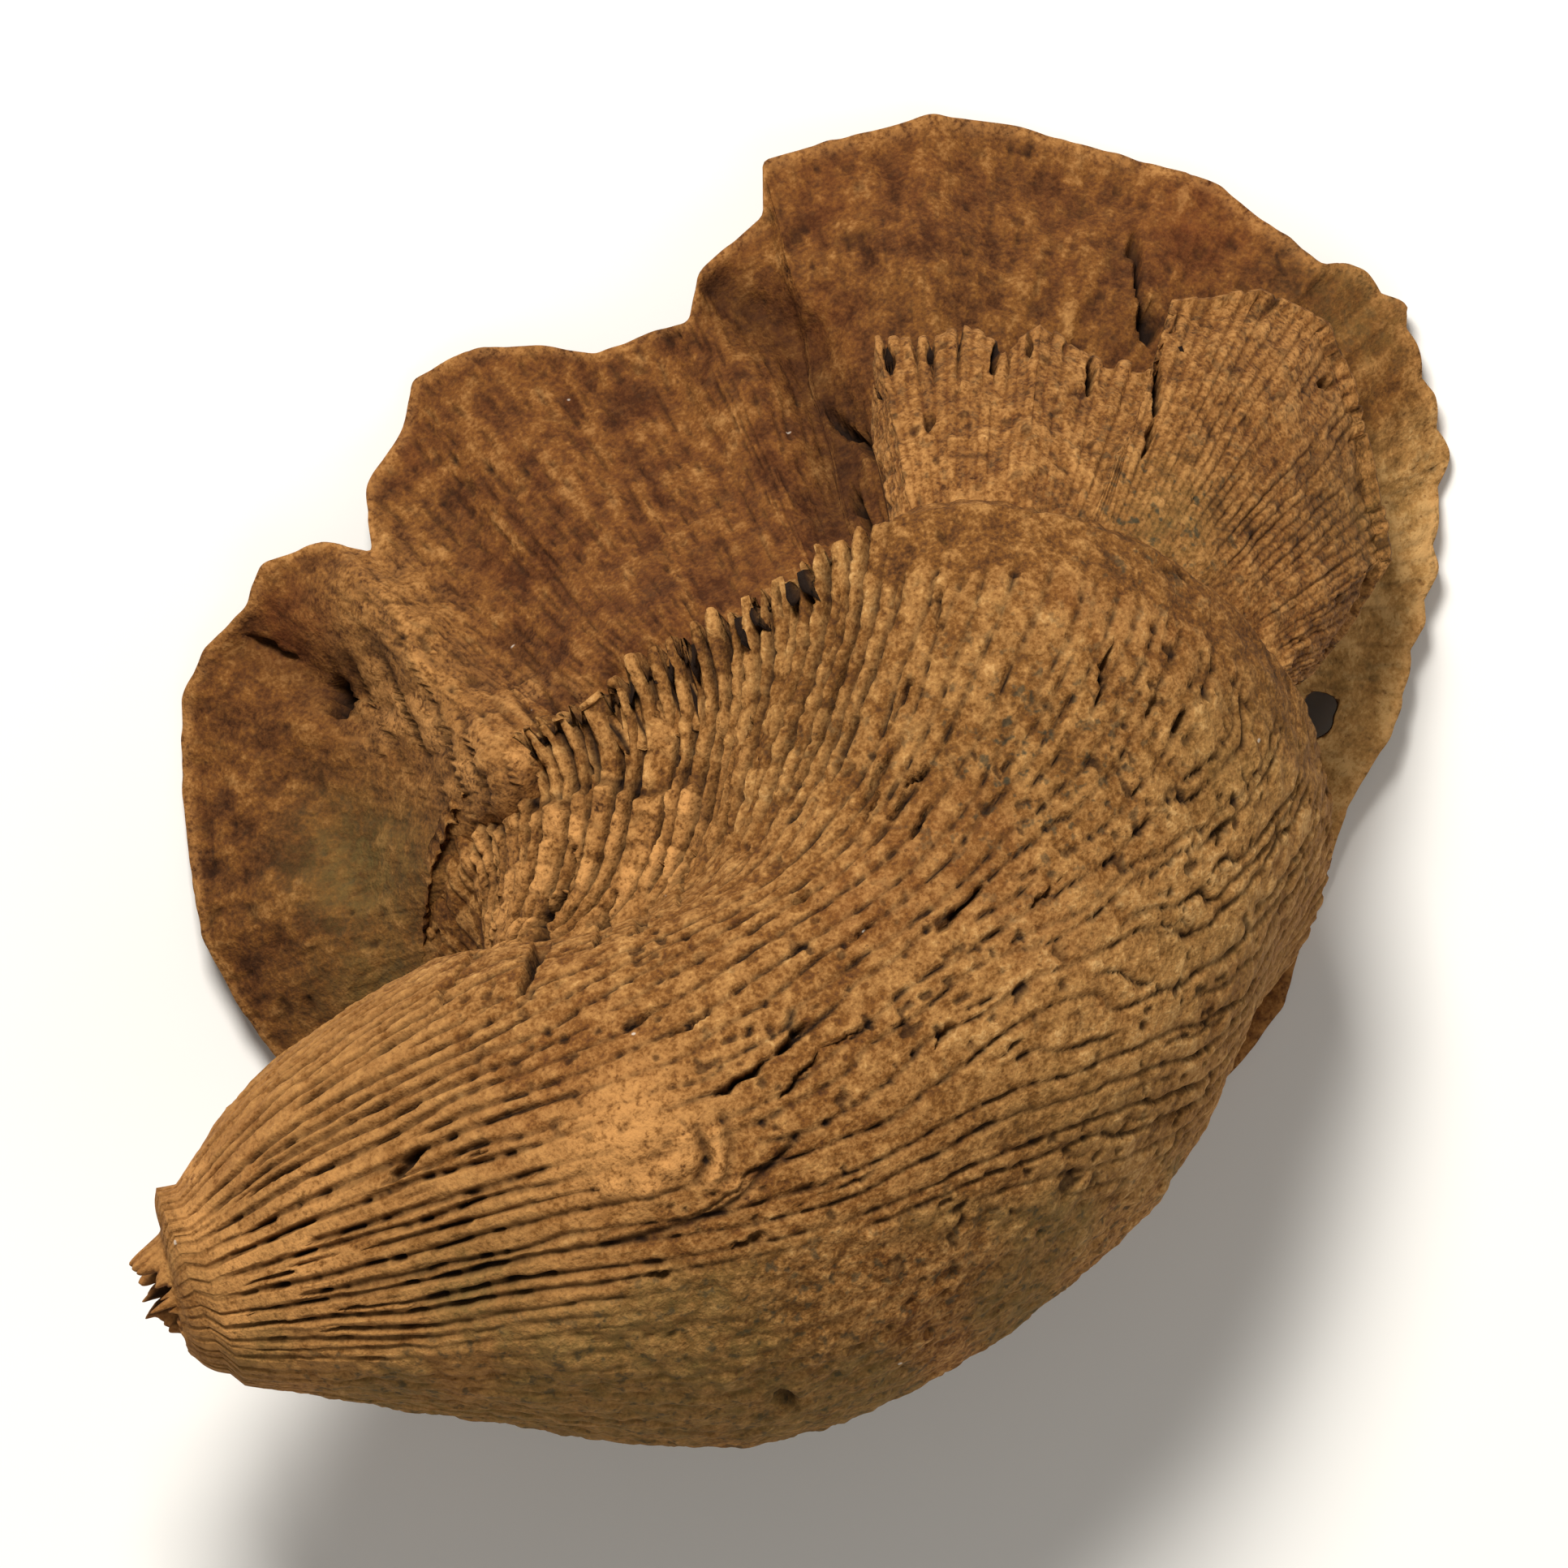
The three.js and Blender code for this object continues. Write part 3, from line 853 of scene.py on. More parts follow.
# The knob's coils: each line's path seen from above, its width, and its rise, or its depth below 0.
KNOB_LINES = (
    (((-9.7, -9.0), (-10.1, -9.7)), 0.42, 0.22),
    (((-9.3, -9.1), (-9.5, -10.0), (-10.3, -10.5)), 0.17, -0.22),
    (((-8.9, -9.4), (-9.1, -10.0), (-9.2, -10.4), (-9.9, -10.9)), 0.30, 0.26),
    (((-8.2, -9.0), (-8.4, -9.6), (-8.5, -10.1), (-9.3, -11.0)), 0.17, -0.14),
    (
        ((-14.5, -10.7), (-11.4, -11.7), (-10.1, -11.9), (-8.6, -11.7), (-7.4, -11.4), (-6.4, -11.1)),
        0.16, -0.26,
    ),
)


@dataclass
class Regions:
    """How far each place of the horn belongs to each of its regions, from 0 to 1, and where it lies on it."""

    angle: Array
    along: Array
    from_lip: Array
    collar: Array
    stem: Array
    band: Array
    dome: Array
    crust: Array
    belly: Array
    end: Array
    upper: Array
    lump: Array
    right: Array

    def sum_of(self, base: float, **extras: float) -> Array:
        """Adds up amounts, each of which counts as far as a place belongs to its region.

        Args:
            base: The amount everywhere.
            **extras: What each named region adds.

        Returns:
            The total.
        """
        total = base
        for region, extra in extras.items():
            total = total + extra * getattr(self, region)
        return total

    def left_of(self, **shares: float) -> Array:
        """Works out what regions leave of a thing.

        Args:
            **shares: The share that each named region takes away.

        Returns:
            The share that is left.
        """
        left = 1.0
        for region, share in shares.items():
            left = left * (1.0 - share * getattr(self, region))
        return left


class HornRelief:
    """What ribs, furrows, blocks, slits, the lump and the crust make of the horn's smooth wall."""

    def __init__(self, wall: "HornWall", grid: Array, at: Regions) -> None:
        """Lays the ribs, and all relief on them.

        Args:
            wall: The horn.
            grid: Its smooth wall.
            at: Its regions.
        """
        self.wall, self.grid, self.at = wall, grid, at
        self.plan = grid[..., :2]
        self.ribs = wall.lay_ribs(grid, at)
        self.faded = ramp(at.angle, 138.0, 148.0) * ramp(at.from_lip, 9.0, 6.0)
        by_knob = Patch(wall.knob_at, 1.5).share(self.plan)
        self.present = self.ribs.present * at.left_of(band=0.97, lump=0.92, crust=0.85)
        self.present = self.present * (1.0 - 0.85 * self.faded) * (1.0 - 0.9 * by_knob)
        self.crown = 1.0 - (1.0 - ramp(self.ribs.off, 0.0, 0.34)) * self.present
        self.height = np.zeros(at.along.shape)
        self._dig_furrows()
        self._part_blocks()
        self._step_collar()
        self._weather()
        self._raise_lump()
        self._tear_tips()

    def _dig_furrows(self) -> None:
        """Digs a fine line all along each furrow, and dashes and dots in it."""
        at = self.at
        lane = beside(self.ribs.furrow, at.along)
        rough = grain(lane, (1.0, 1.2), 31) * 0.6 + grain(lane, (1.0, 0.5), 32) * 0.55
        often = at.sum_of(0.30, stem=-0.28, collar=-0.16, dome=-0.02, right=0.20)
        self.dash = ramp(rough + 0.25 * grain(self.grid, 5.0, 33), often, often + 0.22)
        self.dots = ramp(grain(lane, (1.0, 0.32), 35), 0.20, 0.55) * at.left_of(collar=1.0, stem=0.6)
        width = at.sum_of(0.085, stem=0.02, collar=0.04) + 0.025 * grain(lane, (1.0, 0.8), 34)
        depth = at.sum_of(0.04, stem=0.06, collar=0.26, belly=0.02)
        depth = depth + self.dash * at.sum_of(0.17, collar=0.16, dome=0.05, stem=0.08) + 0.09 * self.dots
        self.core = bell(self.ribs.off, width) * self.present
        self.height -= depth * self.core
        self.height -= at.sum_of(0.05, stem=0.09, collar=0.17, belly=0.03) * (1.0 - self.crown) ** 1.5

    def _part_blocks(self) -> None:
        """Parts the ribs into blocks by growth lines, most of all on the collar."""
        at = self.at
        self.tone, joint = blocks(self.ribs.rib, at.along, 1.15, 41)
        blocky = 0.15 + 0.85 * np.clip(at.sum_of(0.0, collar=1.0, dome=0.35), 0.0, 1.0)
        self.blocky = blocky * at.left_of(band=0.9, lump=0.8, stem=0.6, crust=1.0)
        uneven = (self.tone - 0.5) * ramp(joint, 0.0, 0.25) * ramp(self.crown, 0.1, 0.6)
        self.height += self.blocky * (0.11 * uneven - 0.08 * bell(joint, 0.13))
        self.joints = self.blocky * bell(joint, 0.10)
        proud = 0.03 + 0.26 * at.collar * (1.0 - self.faded) + 0.05 * at.stem
        self.height += proud * (chance_of(self.ribs.rib, 44) - 0.5) * (1.0 - at.band) * self.crown

    def _step_collar(self) -> None:
        """Ends the collar's first tier in a low step, and wears the second one back beyond it."""
        at, wall = self.at, self.wall
        self.jog = chance_of(self.ribs.rib, 45) - 0.5
        tier = np.interp(at.angle, wall.tier_angles, wall.tier_depths) + 0.8 * self.jog
        self.tiered = at.collar * ramp(at.angle, 88.0, 100.0) * (1.0 - self.faded)
        self.beyond = ramp(at.from_lip, tier + 0.15, tier - 0.15)
        self.step = self.tiered * bell(at.from_lip - tier + 0.20, 0.22)
        self.height += 0.45 * self.tiered * (1.0 - self.beyond)
        self.height -= 0.7 * at.end * ramp(at.from_lip, tier + 0.2, tier - 1.2)

    def _weather(self) -> None:
        """Lays weathered lumps and grit all over, and a granular crust low on the -Y flank."""
        at, grid = self.at, self.grid
        calm = 1.0 - 0.6 * np.maximum(at.lump, 0.4 * at.stem)
        grit, fine, lumps = grain(grid, 0.55, 53), grain(grid, 0.30, 54), grain(grid, 1.5, 55)
        self.height += 0.11 * grain(grid, 3.2, 51) * at.left_of(crust=0.4)
        self.height += (0.04 * grain(grid, 1.2, 52) + 0.035 * fine) * calm
        self.height += at.sum_of(0.055, band=0.03, dome=0.03) * grit * calm
        self.height += at.crust * (0.10 * lumps + 0.08 * grain(grid, 0.75, 56) + 0.07 * grain(grid, 0.36, 57))
        holes = ramp(grain(grid, 0.40, 58), 0.50, 0.68) * ramp(grain(grid, 3.5, 59), -0.5, 0.3)
        self.holes = holes * calm * at.left_of(stem=0.8, collar=0.6)
        self.height -= 0.14 * self.holes
        self.speckle = (0.7 * grit + 0.4 * lumps + fine) * calm

    def _raise_lump(self) -> None:
        """Raises the smooth lump and the small coiled knob at its foot, and cuts the slits."""
        upper = self.at.upper
        self.height += 0.75 * self.at.lump
        self.ring, self.dug = np.zeros(upper.shape), np.zeros(upper.shape)
        for path, wide, rise in KNOB_LINES:
            line = bell(distance_to_path(self.plan, path), wide) * upper * rise
            self.height += line
            self.ring += 3.0 * np.maximum(line, 0.0)
            self.dug += 3.0 * np.maximum(-line, 0.0)
        self.pearl = stained(PEARLS, self.plan) * upper
        self.worn = worn_down(self.wall.slits, self.plan) * upper
        self.height += 0.28 * self.pearl - self.worn

    def _tear_tips(self) -> None:
        """Makes the free ribs' tips uneven, and tears some of them apart."""
        at, ribs, wall = self.at, self.ribs, self.wall
        free = wall.free(at.angle)
        worn_back = np.interp(at.angle, wall.worn_angles, wall.worn_back)
        self.tip = (0.65 * self.jog * self.crown - 0.30 * self.core - worn_back) * free
        slot = ramp(chance_of(ribs.furrow, 62), 0.55, 0.80) * self.present
        slot = slot * np.exp(-np.abs(ribs.off / 0.16) ** 3)
        self.torn = free * slot * ramp(at.from_lip, 1.9 + 1.3 * ribs.own, 0.8)
        self.height -= 0.9 * self.torn

    def marks(self) -> dict:
        """Works out the marks for the finish.

        Returns:
            The marks.
        """
        at, plan, tone, beyond = self.at, self.plan, self.tone, self.beyond
        # The dark in furrows, dashes, dots, torn slots, slits, holes, the tier's step and the knob's sunk
        # lines is painted shade, with some dirt; the joints are dark of their own.
        line = at.sum_of(0.26, stem=0.14, collar=0.50, belly=0.12)
        cavity = self.core * np.clip(line + 0.65 * self.dash + 0.45 * self.dots, 0.0, 0.95)
        cavity += at.sum_of(0.14, collar=0.10) * bell(self.ribs.off, 0.20) * self.present
        cavity += self.torn + 1.15 * self.worn + 0.7 * self.holes + 0.5 * self.step + 0.9 * self.dug
        cavity = np.maximum(np.clip(cavity, 0.0, 1.0), 0.22 * self.joints)
        cavity = cavity * (1.0 - 0.85 * ramp(at.angle, 132.0, 142.0) * ramp(at.from_lip, 3.0, 1.5))
        golden = at.collar * (0.35 + 0.65 * ramp(tone, 0.25, 0.85)) * ramp(at.angle, 74.0, 92.0)
        golden = golden * (1.0 - self.faded) * (1.0 - 0.70 * beyond) * (1.0 - 0.8 * at.end * beyond)
        # The stem's rib crowns are painted paler here: a painted highlight on the rib tops.
        pale = golden + 0.22 * at.stem * self.crown + 0.95 * at.lump + 0.9 * (self.pearl + self.ring)
        pale = pale + stained(ROOT_PALE, plan)
        # Darker in the band just short of the lip, along the groove there: painted shade.
        shown = at.sum_of(0.5, stem=0.07, crust=0.02, band=-0.16, right=0.04)
        shown = shown + 0.30 * (tone - 0.5) * (0.25 + 0.75 * self.blocky) + 0.17 * self.speckle
        shown += 0.14 * ramp(plan[..., 1], -6.0, -10.0) * ramp(plan[..., 0], -3.0, 4.0)
        shown -= 0.03 * self.tiered * beyond + 0.10 * self.faded
        speck = stained(HORN_SPECKS, plan)
        moss = np.clip(0.95 * at.crust * ramp(grain(plan, 3.0, 71), -0.9, 0.2) + 0.2 * speck, 0.0, 1.0)
        rust = 0.10 + 0.35 * ramp(grain(plan, 5.0, 72), 0.1, 0.7)
        return {
            Mark.CAVITY: cavity,
            Mark.TONE: shown,
            Mark.PALE: pale * (1.0 - 0.8 * cavity) * at.left_of(crust=0.75),
            Mark.RUST: rust * at.left_of(collar=1.0, band=0.8),
            Mark.MOSS: np.maximum(moss, stained(HORN_MOSS, plan)) * at.left_of(lump=0.8),
            Mark.SPECK: np.maximum(speck, 0.75 * at.crust),
            Mark.GRAIN: np.clip(at.sum_of(0.75, stem=-0.55, lump=-0.45, crust=0.25), 0.0, 1.0),
        }


@dataclass
class HornWall(Stage):
    """The ribbed horn, from its broken root to the flared lip of its first cup."""

    stations: tuple = HORN_STATIONS
    slits: tuple = HORN_SLITS
    finest: int = 352
    columns: int = 88
    columns_seen: int = 9
    columns_hidden: int = 5
    hidden_below: float = -105.0
    body_rows: int = 372
    lip_rows: int = 22
    free_from: float = 62.0
    free_to: float = 123.0
    free_ramp: float = 16.0
    free_path: tuple = ((0, 0), (-0.4, 0.3), (-1.0, 0.2), (-1.3, -0.3), (-2.8, -2.4))
    shoulder_path: tuple = ((0, 0), (-0.45, 0.95), (-1.3, 2.0), (-2.9, 3.4), (-4.6, 4.6))
    scar_path: tuple = (
        (-1.6, 1.9), (-1.3, 1.2), (-1.1, 0.6), (-0.95, 0.1), (-0.7, -0.05), (-0.5, 0.1), (-0.38, 0.35),
        (-0.1, 0.50), (0.30, 0.62), (0.70, 0.86), (1.04, 1.20),
    )
    scar_rows: int = 34
    first_share: float = 0.15
    lump_at: tuple = (-11.6, -7.9)
    lump_size: tuple = (3.0, 2.2)
    knob_at: tuple = (-9.5, -10.3)
    tier_angles: tuple = (96.0, 100.0, 110.0, 120.0, 130.0, 140.0, 150.0)
    tier_depths: tuple = (5.6, 5.4, 5.0, 4.0, 2.9, 2.2, 1.6)
    worn_angles: tuple = (92.0, 100.0, 110.0, 120.0, 128.0)
    worn_back: tuple = (0.0, 0.4, 0.8, 1.2, 1.6)
    stages: tuple = ("horn_root", "horn_body", "horn_shoulder", "horn_lip")
    sunk_rows: int = 6
    sunk: float = 0.25

    def angles(self) -> Array:
        """Spreads the grid's columns round the horn, with more of them where the horn is seen.

        Returns:
            Each column's direction, in degrees.
        """
        pitch = 360.0 / self.columns
        parts = []
        for part in range(-self.columns // 2, self.columns // 2):
            count = self.columns_seen if part * pitch > self.hidden_below else self.columns_hidden
            parts.append((part - 0.5 + np.arange(count) / count) * pitch)
        return np.concatenate(parts)

    def free(self, angles: Array) -> Array:
        """How free the lip stands at each angle, from 0 to 1."""
        edge = np.minimum(angles - self.free_from, self.free_to - angles)
        return np.clip(edge / self.free_ramp + 0.5, 0.0, 1.0)

    def rings(self, shares: Array, angles: Array, proud: Array, ahead: Array) -> Array:
        """Places on the horn's smooth wall.

        Args:
            shares: How far along the horn each row lies, from 0 to 1.
            angles: Each column's direction, in degrees.
            proud: How far outside the wall each place lies.
            ahead: How far on it lies in the growth direction.

        Returns:
            The places, by row and column.
        """
        place = shares * (len(self.stations) - 1)
        way = curve([[*s.centre, s.dip, s.turn] for s in self.stations], place)
        growth = heading(way[:, 3], way[:, 4])
        swing = beside(growth[:, 1], -growth[:, 0], 0.0)
        lean = -growth[:, 2:3]

        def swung(axis: Array) -> Array:
            """An axis turned the way that straight down turns to the growth direction."""
            return axis * lean + np.cross(swing, axis) + swing * (swing @ axis)[:, None] / (1.0 + lean)

        up, side = swung(np.array([1.0, 0.0, 0.0])), swung(np.array([0.0, 1.0, 0.0]))
        radii = curve([s.radii for s in self.stations], place)
        turns = (angles % 360.0) / 360.0 * radii.shape[1]
        radius = curve(radii.T, turns, True).T + proud
        cosine, sine = np.cos(np.radians(angles)), np.sin(np.radians(angles))
        outward = up[:, None] * cosine[:, None] + side[:, None] * sine[:, None]
        return way[:, None, :3] + outward * radius[..., None] + growth[:, None] * ahead[..., None]

    def row_shares(self) -> Array:
        """Spaces the rows, closer together over the last cup's half of the horn.

        Returns:
            How far along the horn each row lies, from 0 to 1.
        """
        coarse = np.linspace(0.0, 1.0, 80)
        angles = np.array([-60.0, 0.0, 60.0, 110.0, 150.0])
        nothing = np.zeros((len(coarse), len(angles)))
        grown = lengths_along(self.rings(coarse, angles, nothing, nothing)).max(axis=1)
        pace = np.gradient(grown) * (1.0 + 0.5 * ramp(coarse, 0.45, 0.65))
        total = steps_from(pace[1:])
        start = np.interp(self.first_share, coarse, total)
        return np.interp(np.linspace(start, total[-1], self.body_rows), total, coarse)

    def regions(self, grid: Array, angles: Array, shares: Array, edge_row: int) -> Regions:
        """Works out the horn's regions.

        Args:
            grid: The smooth wall.
            angles: Each column's direction.
            shares: Each row's share of the horn.
            edge_row: The row of the lip's edge.

        Returns:
            The regions.
        """
        x, y = grid[..., 0], grid[..., 1]
        along = lengths_along(grid)
        from_lip = np.maximum(along[edge_row] - along, 0.0)
        angle = np.broadcast_to(angles, x.shape)
        share = np.broadcast_to(shares[:, None], x.shape)
        boundary = -8.6 - 0.35 * (x + 23.5) + 1.2 * grain(grid, 4.0, 11) + 0.7 * grain(grid, 1.4, 12)
        upper = ramp(normals_of(grid)[..., 2], -0.1, 0.15)
        lump_x, lump_y = (x - self.lump_at[0]) / self.lump_size[0], (y - self.lump_at[1]) / self.lump_size[1]
        side = ramp(angle, 46.0, 68.0) * ramp(angle, 172.0, 160.0)
        return Regions(
            angle=angle,
            along=along,
            from_lip=from_lip,
            collar=side * ramp(from_lip, 12.5, 9.0) * ramp(share, 0.5, 0.6),
            stem=ramp(share, 0.50, 0.40),
            band=ramp(from_lip, 3.4, 1.8) * ramp(angle, -30.0, -8.0) * ramp(angle, 66.0, 54.0),
            dome=ramp(from_lip, 13.0, 8.0) * ramp(angle, -30.0, -5.0) * ramp(angle, 74.0, 60.0),
            crust=ramp(boundary - y, -0.5, 1.8) * ramp(share, 0.10, 0.25),
            belly=ramp(angle, 14.0, -8.0) * ramp(share, 0.42, 0.55),
            end=ramp(angle, 117.0, 130.0) * ramp(share, 0.5, 0.6),
            upper=upper,
            right=ramp(x, 9.0, 13.0) * ramp(from_lip, 1.5, 4.0),
            lump=upper * bell(np.hypot(lump_x, lump_y) + 0.12 * grain(grid[..., :2], 1.5, 13), 1.0),
        )

    def lay_ribs(self, grid: Array, at: Regions) -> Ribs:
        """Lays the ribs, which run askew of the rings' directions where the horn bends.

        Args:
            grid: The smooth wall.
            at: Its regions.

        Returns:
            The ribs.
        """
        bend_up = -15.0 * ramp(at.from_lip, 33.0, 17.0) * bell(at.angle - 27.0, 42.0)
        bend_down = 17.0 * ramp(at.from_lip, 25.0, 4.0) * bell(at.angle + 24.0, 40.0)
        far_side = np.maximum(ramp(at.angle, 108.0, 150.0), ramp(at.angle, -110.0, -178.0))
        gather = 24.0 * ramp(at.from_lip, 12.0, 3.0) * far_side
        flow = beside(at.angle, at.along * 1.2)
        wander = 1.2 * grain(flow, 8.0, 3) + 0.6 * grain(flow, 3.0, 4)
        phase = (at.angle + bend_up + bend_down + gather) * self.finest / 360.0 + wander
        room = room_across(phase, grid, self.finest)
        phase = phase + 0.06 * grain(flow, 0.9, 5) / np.maximum(room, 0.05)
        least = at.sum_of(0.50, collar=-0.12, dome=-0.06, stem=-0.17)
        return find_ribs(phase, room, self.finest, least, 7)

    def _way(self, angles: Array) -> Array:
        """Leads the rows over the broken root, along the wall and round the lip.

        Args:
            angles: Each column's direction.

        Returns:
            How far outside the wall's rings and how far on each place lies.
        """
        scar = curve(self.scar_path, np.linspace(0.0, len(self.scar_path) - 1.0, self.scar_rows))
        scar = np.repeat(scar[:, None], len(angles), axis=1)
        turn = np.linspace(0.0, len(self.free_path) - 1.0, self.lip_rows + 1)[1:]
        shoulder, free = curve(self.shoulder_path, turn), curve(self.free_path, turn)
        lip = mix(shoulder[:, None], free[:, None], self.free(angles)[None, :, None])
        return np.concatenate([scar, np.zeros((self.body_rows, len(angles), 2)), lip])

    def _reach_back(self, row: Array, angles: Array) -> Array:
        """Breaks the root off askew, in spikes and one lobe.

        Args:
            row: The rows' numbers, as a column.
            angles: Each column's direction.

        Returns:
            How far back each place is drawn.
        """
        place = angles[:, None]
        jag = 0.8 * np.abs(grain(place, 9.0, 81)) + 0.5 * grain(place, 24.0, 82) + 0.2 * grain(place, 5.0, 84)
        jag = jag * (0.25 + 0.75 * np.abs(np.cos(np.radians(angles))))
        lobe = 1.3 * bell(angles - 66.0, 17.0)
        short = 0.8 * ramp(angles, -160.0, -125.0) * ramp(angles, -15.0, -45.0)
        spike = (1.35 * jag - 0.15 + lobe - short) * ramp(row, 2.0, 9.0) * ramp(row, 21.0, 13.0)
        askew = 0.2 + 0.75 * np.sin(np.radians(angles))
        return spike - askew * ramp(row, self.scar_rows + 34.0, self.scar_rows - 12.0)

    def _mark_scar(self, marks: dict, row: Array, angles: Array) -> None:
        """Paints shade into the broken root's hollow between its septa, and rusts its edge.

        Args:
            marks: The marks, which it changes.
            row: The rows' numbers, as a column.
            angles: Each column's direction.
        """
        seat = self.scar_rows
        inside = ramp(row, 11.0, 8.0)
        septa = 0.5 + 0.5 * np.cos(np.radians(angles * 9.0) + 1.5 * grain(angles[:, None], 40.0, 83))
        kept = (0.2 + 0.8 * ramp(row, seat - 2.0, seat + 18.0)) * ramp(row, seat - 12.0, seat)
        marks[Mark.CAVITY] = marks[Mark.CAVITY] * kept + inside * (0.9 - 0.8 * septa)
        marks[Mark.PALE] = marks[Mark.PALE] * (1.0 - inside)
        marks[Mark.RUST] = np.maximum(marks[Mark.RUST], 0.8 * ramp(row, 20.0, 11.0))

    def build(self) -> list:
        """Makes the horn.

        Returns:
            The horn's pieces, not yet cut by the last cup's hollow. Each dips under its neighbours' edges.
        """
        angles, seat = self.angles(), self.scar_rows
        shares = np.concatenate([np.zeros(seat), self.row_shares(), np.ones(self.lip_rows)])
        end, edge_row = len(shares) - 1.0, seat + self.body_rows - 1
        way = self._way(angles)
        grid = self.rings(shares, angles, way[..., 0], way[..., 1])
        relief = HornRelief(self, grid, self.regions(grid, angles, shares, edge_row))

        row = np.arange(len(shares))[:, None]
        rough = (0.25 + 0.75 * ramp(row, seat - 2.0, seat + 22.0)) * ramp(row, seat - 14.0, seat + 2.0)
        height = relief.height * rough * ramp(row, end, edge_row + 8.0)
        reach = relief.tip * ramp(row, edge_row - 12.0, edge_row) * ramp(row, end - 1.0, edge_row + 10.0)
        onward = unit(grid[edge_row] - grid[edge_row - 1])
        grid = grid + normals_of(grid) * height[..., None] + onward * reach[..., None]
        grid[..., 0] -= self._reach_back(row, angles)
        grid[..., 2] = np.maximum(grid[..., 2], 0.0)
        marks = relief.marks()
        self._mark_scar(marks, row, angles)

        first, last = self.stations[0], self.stations[-1]
        tail = np.array(first.centre) + self.scar_path[0][1] * heading(first.dip, first.turn)
        head = np.array(last.centre) + self.shoulder_path[-1][1] * heading(last.dip, last.turn)
        return self._stages(tail, grid, head, marks)

    def _stages(self, first: Array, grid: Array, last: Array, marks: dict) -> list:
        """Parts the horn's skin into its stages.

        Args:
            first: The skin's first end.
            grid: The skin's points.
            last: Its last end.
            marks: Its marks.

        Returns:
            One closed piece for each stage.
        """
        normal = normals_of(grid)
        seams = np.linspace(0, len(grid) - 1, len(self.stages) + 1).round().astype(int)
        pieces = []
        for name, start, end in zip(self.stages, seams, seams[1:]):
            low = max(start - self.sunk_rows, 0)
            high = min(end + self.sunk_rows, len(grid) - 1)
            row = np.arange(low, high + 1)
            beyond = np.maximum(np.maximum(start - row, row - end), 0) / self.sunk_rows
            part = grid[low : high + 1] - normal[low : high + 1] * self.sunk * beyond[:, None, None] ** 2
            tail = first if low == 0 else part[0].mean(axis=0)
            head = last if high == len(grid) - 1 else part[-1].mean(axis=0)
            cut_marks = {mark: values[low : high + 1] for mark, values in marks.items()}
            pieces.append(Skin(tail, part, head, cut_marks).build(name))
        return pieces


# ---- the last cup ----

CUP_RIM = (
    (28.7, 2.7, 0.6), (27.7, 5.4, 1.4), (26.8, 5.7, 2.0), (26.6, 6.6, 1.6), (25.3, 10.2, 0.2),
    (23.2, 12.6, -0.4), (20.0, 16.0, -0.5), (17.7, 18.0, 0.2), (13.3, 19.3, 1.0), (11.5, 19.9, 1.6),
    (10.4, 18.1, 2.2), (7.3, 17.6, 3.0), (6.0, 16.2, 3.4), (4.6, 16.7, 2.2), (2.5, 17.1, 2.4),
    (0.8, 18.6, 0.9), (-1.0, 19.6, 0.2), (-3.8, 19.9, -0.4), (-4.9, 18.5, 0.2), (-7.3, 17.5, 1.6),
    (-8.3, 15.2, 3.0), (-9.7, 16.6, 2.4), (-12.0, 17.1, 1.4), (-13.4, 16.0, 0.9), (-15.4, 15.5, 0.2),
    (-17.1, 14.4, -0.4), (-18.3, 12.6, -0.5), (-19.9, 9.5, 0.2), (-21.1, 6.7, 0.8), (-21.4, 4.0, 0.8),
    (-21.2, 1.5, 0.6), (-20.4, -3.0, 0.2), (-18.0, -8.0, -0.4), (-15.0, -12.5, -0.3), (-10.0, -16.6, 0.6),
    (-4.0, -18.4, 1.0), (2.0, -18.0, 0.2), (8.2, -17.7, -0.5), (11.2, -16.7, -0.5), (13.3, -14.9, -0.3),
    (17.3, -11.6, 0.8), (19.9, -10.4, 1.2), (22.3, -8.1, 0.6), (24.5, -6.1, 0.3), (25.4, -4.5, 0.0),
    (27.1, -2.6, -0.3),
)

FLANGE_FOLDS = (
    Fold(((-8.6, 5.4), (-8.9, 9.0), (-9.1, 14.4)), 1.7, 2.6),
    Fold(((-14.3, 15.0), (-11.9, 11.2)), 1.1, -1.6),
    Fold(((-14.7, 5.5), (-14.0, 9.5)), 2.0, -0.9),
    Fold(((-17.6, 10.0), (-18.2, 3.0)), 2.4, 0.9),
    Fold(((7.1, 7.3), (8.5, 9.7), (8.8, 13.4), (7.4, 16.8)), 1.5, -2.2),
    Fold(((20.0, 9.5), (15.0, 14.5)), 3.0, 1.3),
    Fold(((-1.0, 9.0), (-1.6, 16.0)), 3.2, 0.8),
    Fold(((-12.6, 4.4), (-8.6, 6.4), (-3.7, 7.6), (-0.5, 7.3)), 1.6, 1.5),
)

FLANGE_SLITS = slits_at(
    (-12.1, 11.3, 1.4, 1.0, 60, 1.2), (9.0, 9.3, 3.4, 0.6, 100, 0.9), (7.7, 7.0, 1.7, 0.5, 82, 0.8),
    (20.9, 8.9, 3.4, 0.4, 66, 0.7), (20.4, 7.3, 1.4, 1.2, 60, 1.0), (-13.4, 14.2, 2.2, 0.6, -60, 0.6),
)
